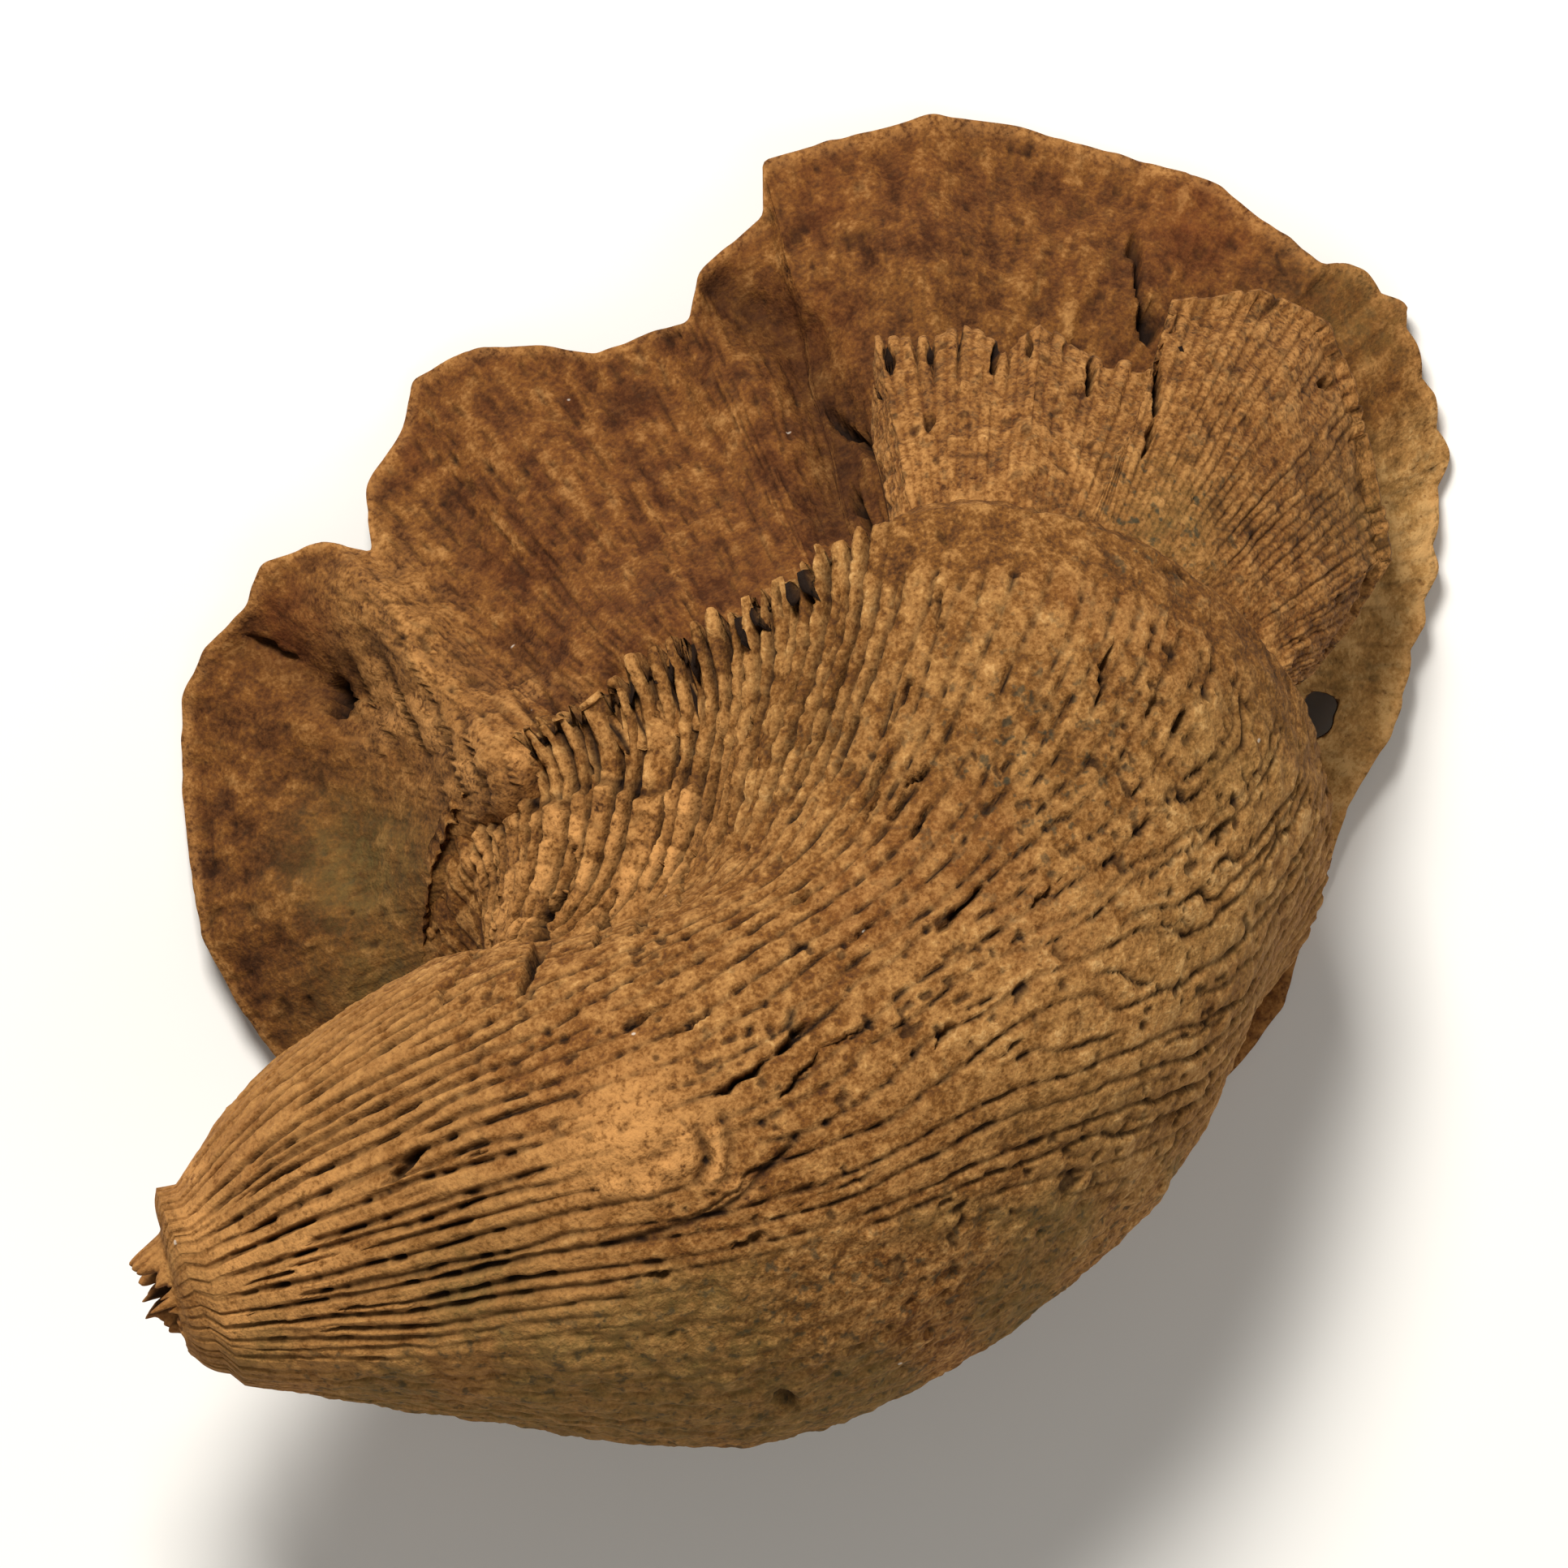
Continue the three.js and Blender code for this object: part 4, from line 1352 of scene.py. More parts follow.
# The third patch lies in the valley on the crest's left flank, and its dark red is partly painted shade.
CUP_RUST = patches_at(
    (23.7, 9.4, 3.0, 0.9), (13.1, 17.9, 3.5, 0.6), (-12.1, 14.3, 1.8, 1.3),
    (9.3, 13.5, 3.0, 0.7), (-5.2, 17.5, 2.0, 0.6), (8.5, 18.0, 2.0, 0.7),
)
CUP_MOSS = patches_at(
    (-14.7, 5.6, 2.6), (-16.6, 1.5, 2.6, 0.8), (24.0, -4.0, 5.0, 0.5),
    (19.5, -8.0, 3.0, 0.5), (27.5, 3.5, 2.5, 0.6),
)
SADDLE = patches_at((-14.9, 5.0, 3.0), (-16.6, 1.0, 2.6, 0.8))
CREST_PATH = ((-9.2, 6.0), (-9.1, 13.6))
CREST_ROOT_PATH = ((-10.9, 10.6), (-9.6, 7.0), (-8.4, 5.0), (-6.4, 6.6))


class CupRelief:
    """What ridges, blocks, growth lines, lumps and slits make of the flange's smooth outer face."""

    def __init__(self, cup: "LastCup", grid: Array, place: Array) -> None:
        """Lays all relief.

        Args:
            cup: The cup.
            grid: Its smooth outer face.
            place: Each column's place counted in ridges.
        """
        self.cup, self.grid = cup, grid
        self.plan = grid[..., :2]
        self.x, self.y = x, y = grid[..., 0], grid[..., 1]
        self.along = lengths_along(grid)
        self.crest = bell(distance_to_path(self.plan, CREST_PATH), 2.1)
        self.root = bell(distance_to_path(self.plan, CREST_ROOT_PATH), 1.9)
        self.sheet = ramp(x, -9.0, -6.0) * ramp(x, 9.5, 7.5) * ramp(y, 1.0, 4.0)
        self.back = ramp(y, 6.0, 10.0) * ramp(x, 8.0, 11.0)
        self.height = np.zeros(x.shape)
        self._dig_ridges(place)
        self._block_crest()
        self._weather()

    def _dig_ridges(self, place: Array) -> None:
        """Digs the furrows between the fine ridges.

        Args:
            place: Each column's place counted in ridges.
        """
        flow = beside(place, self.along)
        phase = place + 0.40 * grain(flow, 6.0, 111) + 0.25 * grain(flow, 2.0, 112)
        off, furrow, _ = furrows(phase, 113, 0.4)
        lane = beside(furrow, self.along)
        self.hollow = bell(off, 0.17)
        self.dash = ramp(grain(lane, (1.0, 0.5), 114) + 0.4 * grain(lane, (1.0, 1.3), 115), 0.16, 0.42)
        self.lined = 0.30 + 0.70 * self.sheet - 0.15 * self.back + 0.2 * self.crest
        self.lined = self.lined * (1.0 - 0.9 * self.root)
        self.height -= (0.035 + 0.07 * self.dash) * self.hollow * self.lined
        self.streak = grain(beside(phase * 0.8, self.along), (1.0, 1.6), 121)

    def _block_crest(self) -> None:
        """Makes the crest, close to the horn, of the same blocks as the collar, two ridges wide."""
        x, y = self.x, self.y
        across, down = (0.993 * x - 0.122 * y) / 0.82, -0.122 * x - 0.993 * y
        across = across + 0.30 * grain(beside(across, down), 2.5, 110)
        off, _, pair = furrows(across, 116, 0.3)
        self.tone, joint = blocks(pair, down, 1.1, 117)
        self.cut = bell(off, 0.13) * ramp(grain(beside(pair, down), (1.0, 1.2), 109), -0.6, 0.1)
        self.height -= self.root * (0.26 * self.cut + 0.10 * bell(joint, 0.14) - 0.16 * (self.tone - 0.5))

    def _weather(self) -> None:
        """Lays growth lines, lumps and grit, and cuts the slits and pits."""
        grid = self.grid
        line = 0.5 + 0.5 * np.cos(2 * math.pi * (self.along / 1.9 + 0.8 * grain(grid, 3.0, 118)))
        self.bumps, self.fine = grain(grid, 0.85, 119), grain(grid, 0.38, 120)
        self.worn = worn_down(self.cup.slits, self.plan)
        self.pits = ramp(grain(grid, 0.5, 124), 0.52, 0.72) * ramp(grain(grid, 4.0, 125), -0.5, 0.4)
        self.height += 0.20 * grain(grid, 3.4, 122) + 0.09 * grain(grid, 1.6, 123) - 0.04 * (1.0 - line) ** 3
        self.height += (0.08 + 0.04 * self.back + 0.07 * self.crest) * self.bumps
        self.height += 0.045 * self.fine + 0.03 * self.streak - self.worn - 0.12 * self.pits

    def marks(self, share: Array) -> dict:
        """Works out the marks for the finish.

        Args:
            share: Each row's share of the way out.

        Returns:
            The marks.
        """
        x, y, crest, root, tone = self.x, self.y, self.crest, self.root, self.tone
        # Furrows, slits, pits and the crest's cuts get painted shade, with some dirt, and the fold valleys
        # get painted shade by their depth.
        shut_in = sum(np.minimum(fold.height(self.plan), 0.0) for fold in self.cup.folds)
        cavity = self.hollow * (0.10 + 0.45 * self.dash) * (0.4 + 0.6 * self.lined)
        cavity += 1.2 * self.worn + 0.55 * self.pits + 0.75 * root * self.cut
        cavity = np.maximum(np.clip(cavity, 0.0, 1.0), 0.5 * np.clip(-shut_in / 2.2, 0.0, 1.0) ** 1.5)
        middle = ramp(x, -7.5, -4.0) * ramp(x, 14.0, 8.0) * ramp(y, 0.0, 6.0)
        rust = np.maximum(stained(CUP_RUST, self.plan), 0.45 * middle)
        rust = np.maximum(rust, 0.30 + 0.2 * grain(self.plan, 4.0, 126))
        moss, saddle = stained(CUP_MOSS, self.plan), stained(SADDLE, self.plan)
        edge = ramp(share, 0.955, 0.995)
        # The right flange in the ledge's shadow is painted lighter: painted light. Its green is moss.
        shadowed_right_flange = ramp(x, 11.0, 18.0) * ramp(y, 3.0, -3.0)
        shown = 0.26 + 0.12 * crest + 0.04 * saddle + 0.53 * shadowed_right_flange + 0.12 * root * (tone - 0.3)
        shown += 0.16 * self.bumps + 0.20 * self.fine + (0.10 + 0.10 * self.sheet) * self.streak
        shown += 0.05 * grain(self.grid, 2.4, 127) + 0.10 * edge
        pale = 0.38 * crest + 0.6 * root * ramp(tone, 0.35, 0.9) + 0.40 * edge
        return {
            Mark.CAVITY: cavity * (1.0 - edge),
            Mark.TONE: shown,
            Mark.PALE: np.clip(pale, 0.0, 1.0) * (1.0 - cavity),
            Mark.RUST: rust * (1.0 - 0.85 * np.maximum(crest, saddle)) * (1.0 - 0.85 * shadowed_right_flange),
            Mark.MOSS: np.maximum(moss, 0.40 * shadowed_right_flange),
            Mark.SPECK: 0.30 * moss + 0.12,
            Mark.GRAIN: np.full(x.shape, 0.6),
        }


@dataclass(frozen=True)
class Outline:
    """The rim's outline: its points, their directions in degrees, and their places counted in ridges."""

    points: Array
    angle: Array
    place: Array


@dataclass
class LastCup(Stage):
    """The last cup: a thin folded flange round an oval neck, over a hollow with its septa."""

    rim: tuple = CUP_RIM
    folds: tuple = FLANGE_FOLDS
    slits: tuple = FLANGE_SLITS
    neck_centre: tuple = (1.0, 0.0)
    neck_size: tuple = (12.0, 6.0)
    neck_height: float = 12.4
    neck_tilt: float = 1.8
    thickness: float = 1.1
    undercut: float = 0.4
    flare: float = 1.25
    ridges: int = 250
    rounding: float = 0.22
    columns_seen: int = 5
    columns_hidden: int = 3
    hidden_from: float = 212.0
    hidden_to: float = 318.0
    outer_rows: int = 56
    edge_rows: int = 6
    inner_rows: int = 20
    hollow_wall: float = 1.3
    hollow_floor: float = 8.6
    pit_depth: float = 2.6
    septa: int = 70
    septum_height: float = 1.2
    hole_at: tuple = (18.0, -8.2)
    hole_radius: float = 0.75
    cleared: float = 0.25

    def edge(self) -> Outline:
        """Makes the rim's fine outline, with points at even steps of the flange's ridges.

        Returns:
            The outline.
        """
        corners = np.array(self.rim)
        from_neck = corners[:, :2] - self.neck_centre
        direction = np.degrees(np.arctan2(from_neck[:, 1], from_neck[:, 0])) % 360.0
        order = np.argsort(direction)
        order = np.append(order, order[0])
        corners, direction = corners[order], direction[order]
        direction[-1] += 360.0
        length = steps_from(np.linalg.norm(np.diff(corners[:, :2], axis=0), axis=1))
        ridge_step = length[-1] / self.ridges
        parts = []
        for ridge in range(self.ridges):
            toward = np.interp(ridge * ridge_step, length, direction) % 360.0
            seen = not self.hidden_from <= toward <= self.hidden_to
            count = self.columns_seen if seen else self.columns_hidden
            parts.append(ridge + np.arange(count) / count)
        place = np.concatenate(parts)

        def at(spot: Array) -> Array:
            """The outline's x, y and lift at places along it."""
            return beside(*(np.interp(spot % length[-1], length, corners[:, axis]) for axis in range(3)))

        spot = place * ridge_step
        points = 0.4 * at(spot) + 0.3 * at(spot - self.rounding) + 0.3 * at(spot + self.rounding)
        plan = points[:, :2].copy()
        serrated = ramp(plan[:, 0], 20.0, 23.0) * ramp(plan[:, 1], 7.0, 4.0)
        scallop = np.abs(np.cos(math.pi * spot / 2.0 + 1.2 * grain(plan, 5.0, 101))) - 0.5
        ragged = 0.10 * grain(plan, 2.2, 102) + 0.05 * grain(plan, 0.6, 103) + 0.26 * serrated * scallop
        points[:, :2] += unit(plan - self.neck_centre) * ragged[:, None]
        return Outline(points, np.interp(spot, length, direction), place)

    def neck_point(self, angle: Array, share: Union[float, Array]) -> Array:
        """Places on the oval neck, or inside it at a share of its size."""
        oval = beside(np.cos(np.radians(angle)), np.sin(np.radians(angle))) * self.neck_size
        return self.neck_centre + oval * np.asarray(share)[..., None]

    def height(self, outline: Outline, share: Array, plan: Array) -> Array:
        """Height of the flange's smooth outer face.

        Args:
            outline: The rim's outline.
            share: How far out the places lie, from the neck to the rim.
            plan: The places, seen from above.

        Returns:
            The height, in millimetres.
        """
        neck = self.neck_height + self.neck_tilt * np.cos(np.radians(outline.angle - 45.0))
        within = np.clip(share, 0.0, 1.0)
        plain = mix(outline.points[:, 2] + self.thickness, neck, (1.0 - within) ** self.flare)
        return plain + sum(fold.height(plan) for fold in self.folds) * (1.0 - within**6)

    def spread(self, outline: Outline, share: Union[float, Array], inset: Union[float, Array] = 0.0) -> Array:
        """Spreads the flange, seen from above.

        Args:
            outline: The rim's outline.
            share: How far out the places lie, from the neck to the rim.
            inset: How many millimetres less far they lie.

        Returns:
            The places.
        """
        neck = self.neck_point(outline.angle, 1.0)
        run = outline.points[:, :2] - neck
        reach = share - inset / np.linalg.norm(run, axis=1)
        return neck + run * reach[..., None]

    def roof(self, outline: Outline, share: Array, lift: float = 0.0) -> Array:
        """The hollow's roof without its septa.

        Args:
            outline: The rim's outline.
            share: How far out each row lies, as a column of numbers.
            lift: How far above the roof the surface lies.

        Returns:
            The roof's places, by row and column.
        """
        plan = self.spread(outline, share)
        under = self.height(outline, share, plan) - self.thickness - self.hollow_wall * (1.0 - share)
        return beside(plan[..., 0], plan[..., 1], np.minimum(under, self.hollow_floor) + lift)

    def build(self) -> bpy.types.Object:
        """Makes the cup.

        Returns:
            The cup's piece, with its hollow and its one hole.
        """
        outline = self.edge()
        share = np.linspace(0.0, 1.0, self.outer_rows)[:, None]
        flat = self.spread(outline, share)
        outer = beside(flat[..., 0], flat[..., 1], self.height(outline, share, flat))
        relief = CupRelief(self, outer, outline.place)
        fade = ramp(share, 0.0, 0.06) * (1.0 - 0.5 * ramp(share, 0.96, 1.0))
        outer = outer + normals_of(outer) * (relief.height * fade)[..., None]
        rim = self._rim(outline, outer[-1, :, 2])
        inner, dirt_and_shade = self._inside(outline)

        grid = np.concatenate([outer, rim, inner])
        grid[..., 2] = np.maximum(grid[..., 2], 0.0)
        marks = relief.marks(share)
        for mark, values in marks.items():
            marks[mark] = np.concatenate([values, np.repeat(values[-1:], len(rim) + len(inner), axis=0)])
        hollow = marks[Mark.CAVITY][-len(inner) :]
        hollow[:] = np.maximum(hollow, dirt_and_shade)
        first = np.array([*self.neck_centre, self.neck_height])
        last = np.array([*self.neck_centre, self.hollow_floor + self.pit_depth])
        piece = Skin(first, grid, last, marks).build("last_cup")
        cut_away(piece, self._hole())
        return piece

    def _rim(self, outline: Outline, top: Array) -> Array:
        """Rounds the flange's edge.

        Args:
            outline: The rim's outline.
            top: The outer face's height there.

        Returns:
            The rows round the edge.
        """
        turn = (np.arange(self.edge_rows) + 1.0)[:, None] / (self.edge_rows + 1.0) * math.pi
        bulge = self.spread(outline, 1.0, self.undercut * (1.0 - np.sin(turn)) * (turn > math.pi / 2.0))
        return beside(bulge[..., 0], bulge[..., 1], top - 0.5 * self.thickness * (1.0 - np.cos(turn)))

    def _inside(self, outline: Outline) -> tuple:
        """Makes the hollow's face, from the rim to the central pit, with its septa.

        Args:
            outline: The rim's outline.

        Returns:
            The face's rows, and the painted shade between the septa.
        """
        out = np.linspace(0.93, 0.0, self.inner_rows)[:, None]
        within = np.linspace(0.85, 0.2, 5)[:, None]
        pit = self.neck_point(outline.angle, within)
        pit = beside(pit[..., 0], pit[..., 1], self.hollow_floor + self.pit_depth * (1.0 - within) ** 2)
        face = np.concatenate([self.roof(outline, out), pit])
        depth = np.concatenate([out, -within])
        septum = outline.place / self.ridges * self.septa
        blade = np.abs(np.cos(math.pi * septum)) ** 5
        lesser = np.mod(np.round(septum), 2.0) == 1.0
        rise = np.where(lesser, 0.55, 1.0) * self.septum_height * blade
        swell = ramp(depth, 0.97, 0.5) * ramp(depth, -1.0, -0.35)
        face[..., 2] -= rise * swell + 0.05 * grain(face, 0.7, 121)
        # Darker between the septa: painted shade.
        return face, 0.55 * (1.0 - blade) * ramp(depth, 1.0, 0.8)

    def _hole(self) -> bpy.types.Object:
        """Makes the shape of the one hole through the flange: an uneven five-sided column.

        Returns:
            The column.
        """
        turn = np.linspace(0.0, 2 * math.pi, 48, endpoint=False)
        uneven = 0.05 * np.cos(5 * turn) + 0.14 * np.sin(2 * turn) + 0.06 * np.cos(3 * turn)
        radius = self.hole_radius * (1.0 + uneven)
        ring = self.hole_at + beside(np.cos(turn), np.sin(turn)) * radius[:, None]
        levels = np.array([12.0, CUTTERS_END])
        grid = beside(ring[:, 0], ring[:, 1], levels[:, None])
        ends = [np.array([*self.hole_at, level]) for level in levels]
        return Skin(ends[0], grid, ends[1]).build("hole")

    def hollow_block(self) -> bpy.types.Object:
        """Makes the hollow as a block that reaches a little into the cup's roof, to clear the horn out of it.

        Returns:
            The block.
        """
        fine = self.edge()
        outline = Outline(fine.points[::6], fine.angle[::6], fine.place[::6])
        roof = self.roof(outline, np.linspace(0.0, 0.97, 14)[:, None], self.cleared)
        skirt = self.roof(outline, np.array([[0.99]]))
        skirt[..., 2] = CUTTERS_END
        first = np.array([*self.neck_centre, self.hollow_floor + self.cleared])
        last = np.array([*self.neck_centre, CUTTERS_END])
        return Skin(first, np.concatenate([roof, skirt]), last).build("hollow")


# ---- the ledge ----

LEDGE_RIBS = (
    ((8.0, 5.2, 18.2), (9.4, 9.0, 13.2)),
    ((8.8, 4.9, 18.8), (11.4, 11.9, 11.8)),
    ((10.0, 4.5, 19.3), (14.1, 10.9, 11.4)),
    ((11.2, 3.9, 19.5), (15.2, 9.3, 11.6)),
    ((12.2, 3.2, 19.4), (16.9, 9.3, 11.0)),
    ((13.2, 2.4, 19.1), (17.9, 6.9, 11.4)),
    ((13.8, 1.8, 18.9), (19.5, 5.6, 11.0)),
    ((14.3, 1.2, 18.7), (21.3, 7.4, 8.8)),
    ((15.0, 0.4, 18.4), (24.4, 6.1, 6.4)),
    ((15.6, -0.6, 18.0), (25.9, 3.8, 5.0)),
    ((16.2, -1.8, 17.5), (25.4, 0.9, 4.9)),
    ((16.8, -3.4, 16.6), (24.3, -2.2, 5.4)),
    ((17.2, -4.8, 15.8), (23.3, -4.8, 6.4)),
    ((17.4, -6.0, 15.2), (20.4, -6.2, 8.8)),
    ((17.3, -6.8, 14.5), (18.3, -6.9, 11.8)),
)

LEDGE_PITS = slits_at(
    (11.5, 8.5, 0.9, 0.6, 60, 0.6), (11.5, 11.2, 0.9, 0.5, 58, 0.7), (12.9, 10.6, 0.7, 0.4, 58, 0.5),
    (14.9, 9.2, 1.3, 0.5, 58, 0.8), (16.2, 8.9, 0.8, 0.4, 50, 0.6), (17.4, 6.8, 1.2, 0.5, 55, 0.8),
    (17.6, 8.3, 0.8, 0.4, 50, 0.6), (19.4, 5.3, 2.6, 0.4, 52, 0.8), (18.0, 3.6, 1.2, 0.3, 40, 0.5),
    (24.9, 1.8, 0.7, 0.6, 20, 0.5),
)


LEDGE_PALE = patches_at((25.5, 3.7, 2.5), (9.0, 7.5, 1.5))
LEDGE_MOSS = patches_at((16.9, 0.8, 2.4, 0.6), (24.0, -3.0, 2.5, 0.5))
LEDGE_SPECKS = patches_at((16.9, 0.8, 2.4))


class LedgeTop:
    """The ledge's upper face: a fan of ribs with teeth of uneven length, and their relief and marks."""

    def __init__(self, ledge: "Ledge") -> None:
        """Spreads the fan and lays its relief.

        Args:
            ledge: The ledge.
        """
        self.ledge = ledge
        place = np.arange(ledge.ribs * ledge.rows_per_rib + 1)[:, None] / ledge.rows_per_rib
        self.share = np.linspace(0.0, 1.0, ledge.top_points)[None, :]
        self.root, self.tip = self._fan(place)
        run = np.linalg.norm(self.tip - self.root, axis=-1)
        self.along = self.share * run
        phase = place + 0.22 * grain(beside(place, self.along), 3.5, 201)
        self.groove, self.rib = np.round(phase), np.floor(phase)
        self.middle = np.abs(phase - self.rib - 0.5) * 2.0
        self.hollow = bell(phase - self.groove, 0.17)
        self.longer = chance_of(self.rib, 202)
        self.blunt = 1.0 - 0.75 * ramp(self.tip[..., 0], 18.5, 21.5)
        self.slot = ramp(chance_of(self.groove, 203), 0.45, 0.85)
        tooth = 0.9 * (self.longer - 0.7) * (1.0 - 0.4 * self.middle**2)
        tooth = np.clip(self.blunt * (tooth - (0.08 + 0.9 * self.slot) * self.hollow), -2.2, 0.45) / run
        self.stretch = 1.0 + tooth * ramp(self.share, 0.45, 1.0)
        reach = self.share * self.stretch
        level = mix(self.root[..., 2], self.tip[..., 2], np.clip(reach, 0.0, None) ** 1.35)
        self.grid = self.raised(reach, level)
        self.height = np.zeros(self.along.shape)
        self._cut_ribs()
        self._weather()

    def _fan(self, place: Array) -> tuple:
        """Spreads the ribs evenly between the known ones.

        Args:
            place: Where the rows lie, counted in ribs.

        Returns:
            The rows' first and last points.
        """
        corners = np.array(self.ledge.ribs_at)
        gap, reach = np.linalg.norm(np.diff(corners, axis=0), axis=-1).T
        length = steps_from(0.6 * np.minimum(reach, 3.2) + 0.4 * gap)
        spot = place / self.ledge.ribs * length[-1]
        flat = corners.reshape(len(corners), 6)
        fan = beside(*(np.interp(spot, length, flat[:, axis]) for axis in range(6)))
        return fan[..., :3], fan[..., 3:]

    def raised(self, reach: Array, level: Array) -> Array:
        """Places at shares of the way from the first points to the last ones, at a level of their own."""
        plan = mix(self.root[..., :2], self.tip[..., :2], reach[..., None])
        return beside(plan[..., 0], plan[..., 1], level)

    def _cut_ribs(self) -> None:
        """Cuts the grooves between the ribs, and parts the ribs into beads and blocks."""
        share, along, rib, middle = self.share, self.along, self.rib, self.middle
        wear = grain(beside(self.groove * 4.3, along), (1.0, 1.6), 211)
        self.present = ramp(share, 0.06, 0.34)
        clear = 0.35 + 0.65 * ramp(self.grid[..., 0], 14.5, 17.5) * ramp(share, 0.95, 0.6)
        clear = clear * (0.65 + 0.5 * grain(self.grid, 2.2, 215))
        deep = (0.065 + 0.045 * wear) * clear + 0.22 * self.slot * self.blunt * ramp(share, 0.75, 1.0)
        self.deep = self.present * deep
        cell = along / 0.72 + 0.25 * chance_of(rib, 212)
        cell = cell + 0.3 * grain(beside(rib * 5.1, along), (1.0, 2.0), 213)
        bead = (0.5 - 0.5 * np.cos(2 * math.pi * cell)) ** 3
        self.tone, joint = blocks(rib, along, 0.85, 217)
        uneven = 0.08 * (self.tone - 0.5) * ramp(joint, 0.0, 0.2) + 0.10 * (self.longer - 0.5)
        self.height += self.present * (uneven - 0.03 * middle**2 * clear - 0.05 * bead)
        self.height -= self.deep * self.hollow

    def _weather(self) -> None:
        """Lays lumps and grit, wears the teeth and the root down, and cuts the pits."""
        grid, share = self.grid, self.share
        self.bumps, self.fine = grain(grid, 0.85, 218), grain(grid, 0.36, 219)
        self.worn = worn_down(self.ledge.pits, grid[..., :2])
        self.height += 0.14 * grain(grid, 2.6, 214) + 0.10 * self.bumps + 0.07 * self.fine
        self.height -= 0.35 * ramp(share, 0.70, 1.0) ** 2 * ramp(grid[..., 0], 17.5, 20.5)
        self.height -= 0.25 * bell(share - 0.04, 0.10) + self.worn

    def marks(self) -> dict:
        """Works out the marks for the finish.

        Returns:
            The marks.
        """
        plan = self.grid[..., :2]
        holes = self.present * ramp(grain(self.grid, 0.42, 216), 0.50, 0.68)
        # Grooves, pits and holes darkened: painted shade, with some dirt.
        cavity = self.hollow * np.clip(self.deep * 3.2, 0.0, 1.0) + 1.3 * self.worn + 0.5 * holes
        cavity = np.clip(cavity, 0.0, 1.0)
        pale = 0.22 + 0.35 * ramp(self.share, 0.86, 1.0) * self.longer + 0.3 * stained(LEDGE_PALE, plan)
        return {
            Mark.CAVITY: cavity,
            Mark.TONE: 0.40 + 0.20 * (self.tone - 0.5) + 0.16 * (self.bumps + self.fine),
            # Paler along the middle of each rib: a painted highlight on the rib tops.
            Mark.PALE: np.clip(pale, 0.0, 1.0) * (1.0 - cavity) * (1.0 - self.middle**2),
            Mark.RUST: 0.15 + 0.25 * self.hollow,
            Mark.MOSS: stained(LEDGE_MOSS, plan),
            Mark.SPECK: 0.35 + stained(LEDGE_SPECKS, plan),
            Mark.GRAIN: np.full(cavity.shape, 0.8),
        }


@dataclass
class Ledge(Stage):
    """The broken ledge of an older cup: fine ribs that fan out from the groove behind the horn's lip."""

    ribs_at: tuple = LEDGE_RIBS
    pits: tuple = LEDGE_PITS
    ribs: int = 70
    rows_per_rib: int = 8
    top_points: int = 66
    edge_points: int = 6
    under_points: int = 14
    thickness: float = 1.1
    sunk: float = 5.0

    def build(self) -> bpy.types.Object:
        """Makes the ledge.

        Returns:
            The ledge's piece.
        """
        top = LedgeTop(self)
        loops = np.concatenate([top.grid, self._edge(top), self._under(top)], axis=1)
        lift = np.zeros(loops.shape[:2])
        lift[:, : self.top_points] = top.height * ramp(top.share, 0.0, 0.02)
        loops = loops + normals_of(loops) * lift[..., None]
        marks = top.marks()
        for mark, values in marks.items():
            beyond = np.repeat(values[:, -1:], self.edge_points + self.under_points, axis=1)
            marks[mark] = np.concatenate([values, beyond], axis=1)
        return Skin(loops[0].mean(axis=0), loops, loops[-1].mean(axis=0), marks).build("old_ledge")

    def _edge(self, top: LedgeTop) -> Array:
        """Rounds the ledge's edge.

        Args:
            top: Its upper face.

        Returns:
            The points round the edge.
        """
        turn = (np.arange(self.edge_points) + 1.0) / (self.edge_points + 1.0) * math.pi
        lip = top.grid[:, -1:]
        edge = lip + unit(lip - top.grid[:, -6:-5]) * (0.3 * np.sin(turn))[None, :, None]
        edge[..., 2] -= 0.5 * self.thickness * (1.0 - np.cos(turn))
        return edge

    def _under(self, top: LedgeTop) -> Array:
        """Leads the underside back into the horn.

        Args:
            top: The ledge's upper face.

        Returns:
            The underside's points.
        """
        back = np.linspace(1.0, 0.0, self.under_points)[None, :]
        level = mix(top.root[..., 2] - self.sunk, top.grid[:, -1:, 2] - self.thickness, back**0.6)
        return top.raised(back * top.stretch[:, -1:], level)


# ---- studio ----


@dataclass(frozen=True)
class FloorPaint:
    """The floor's finish: plain, pale and dull."""

    name: str = "pale_floor"
    colour: tuple = shade(226, 222, 214)
    roughness: float = 0.9

    def build(self) -> bpy.types.Material:
        """Makes the material.

        Returns:
            The material.
        """
        tree = ShaderTree(self.name)
        tree.surface({"Base Color": self.colour, "Roughness": self.roughness})
        return tree.material


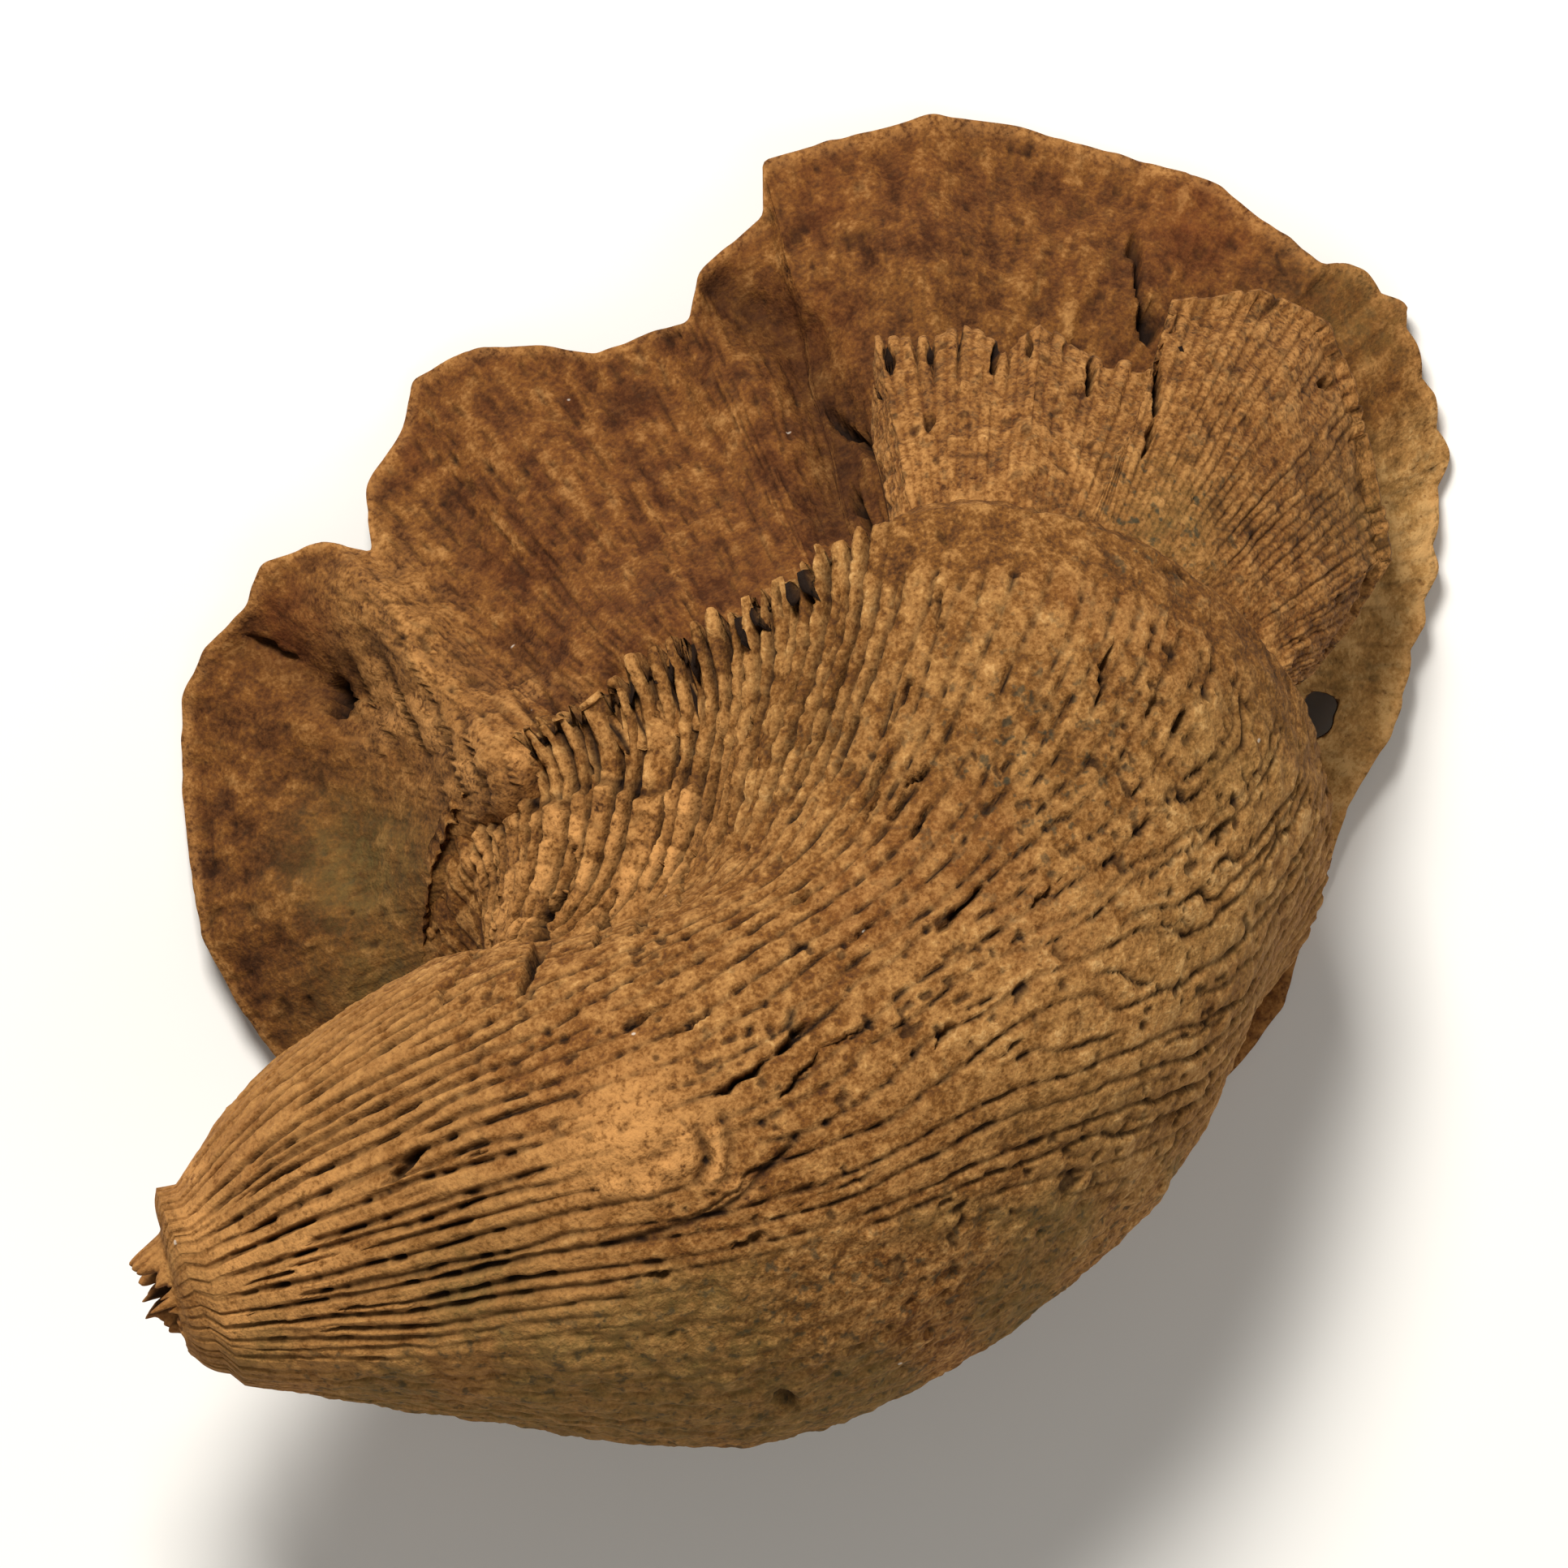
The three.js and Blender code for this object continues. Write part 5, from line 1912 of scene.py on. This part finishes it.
@dataclass
class Studio:
    """The pale floor, the soft lights and the camera that looks straight down on the fossil.

    Each lamp has a name, its place to the camera's right, up the picture and above the floor in metres, a
    width in metres and a power in watts.
    """

    floor_size: float = 1.2
    floor_paint: FloorPaint = FloorPaint()
    camera_turn: float = 32.0
    camera_level: float = 12.0
    camera_distance: float = 1500.0
    frame_width: float = 57.3
    lamps: tuple = (("key", (-0.08, 0.30, 0.46), 0.16, 4.3), ("fill", (0.25, -0.30, 0.45), 0.5, 0.8))
    sky: float = 0.26

    def _axes(self) -> tuple:
        """The camera's right and up directions on the floor."""
        turn = math.radians(self.camera_turn)
        return Vector((math.cos(turn), -math.sin(turn), 0.0)), Vector((math.sin(turn), math.cos(turn), 0.0))

    def floor(self) -> None:
        """Lays the floor."""
        half = self.floor_size / 2
        corners = [(-half, -half, 0), (half, -half, 0), (half, half, 0), (-half, half, 0)]
        mesh = bpy.data.meshes.new("floor")
        mesh.from_pydata(corners, [], [(0, 1, 2, 3)])
        piece = bpy.data.objects.new("floor", mesh)
        bpy.context.scene.collection.objects.link(piece)
        mesh.materials.append(self.floor_paint.build())

    def _soft_light(self, name: str, place: Vector, size: float, power: float) -> None:
        """Hangs a square soft light that faces the fossil.

        Args:
            name: Its name.
            place: Where it hangs, in metres.
            size: How wide it is, in metres.
            power: Its power, in watts.
        """
        data = bpy.data.lights.new(name, "AREA")
        data.energy = power
        data.size = size
        lamp = bpy.data.objects.new(name, data)
        lamp.location = place
        lamp.rotation_euler = (-place).to_track_quat("-Z", "Y").to_euler()
        bpy.context.scene.collection.objects.link(lamp)

    def lights(self) -> None:
        """Hangs the lights and sets a plain bright surround."""
        right, up = self._axes()
        for name, (across, ahead, above), size, power in self.lamps:
            self._soft_light(name, right * across + up * ahead + Vector((0.0, 0.0, above)), size, power)
        world = bpy.data.worlds.new("studio")
        world.use_nodes = True
        background = world.node_tree.nodes["Background"]
        background.inputs["Color"].default_value = (1.0, 1.0, 1.0, 1.0)
        background.inputs["Strength"].default_value = self.sky
        bpy.context.scene.world = world

    def camera(self) -> None:
        """Sets the camera."""
        right, up = self._axes()
        data = bpy.data.cameras.new("camera")
        data.sensor_width = 36.0
        data.angle = 2.0 * math.atan(self.frame_width / 2.0 / self.camera_distance)
        data.clip_start = 0.01
        camera = bpy.data.objects.new("camera", data)
        height = (self.camera_level + self.camera_distance) * MM
        place = Vector((PLACE[0] * MM, PLACE[1] * MM, height))
        axes = Matrix((right, up, Vector((0, 0, 1)))).transposed()
        camera.matrix_world = Matrix.Translation(place) @ axes.to_4x4()
        bpy.context.scene.collection.objects.link(camera)
        bpy.context.scene.camera = camera

    def build(self) -> None:
        """Sets the whole studio."""
        self.floor()
        self.lights()
        self.camera()
        bpy.context.scene.view_settings.view_transform = "Standard"


def main() -> None:
    """Builds the studio and the fossil's stages."""
    logging.basicConfig(level=logging.INFO, format="%(name)s %(message)s")
    Studio().build()
    stone = CoralStone("coral_stone").build()
    horn, ledge, cup = HornWall(), Ledge(), LastCup()
    for piece in horn.build():
        cut_away(piece, cup.hollow_block())
        horn.dress(piece, stone)
    ledge.dress(ledge.build(), stone)
    cup.dress(cup.build(), stone)


if __name__ == "__main__":
    main()
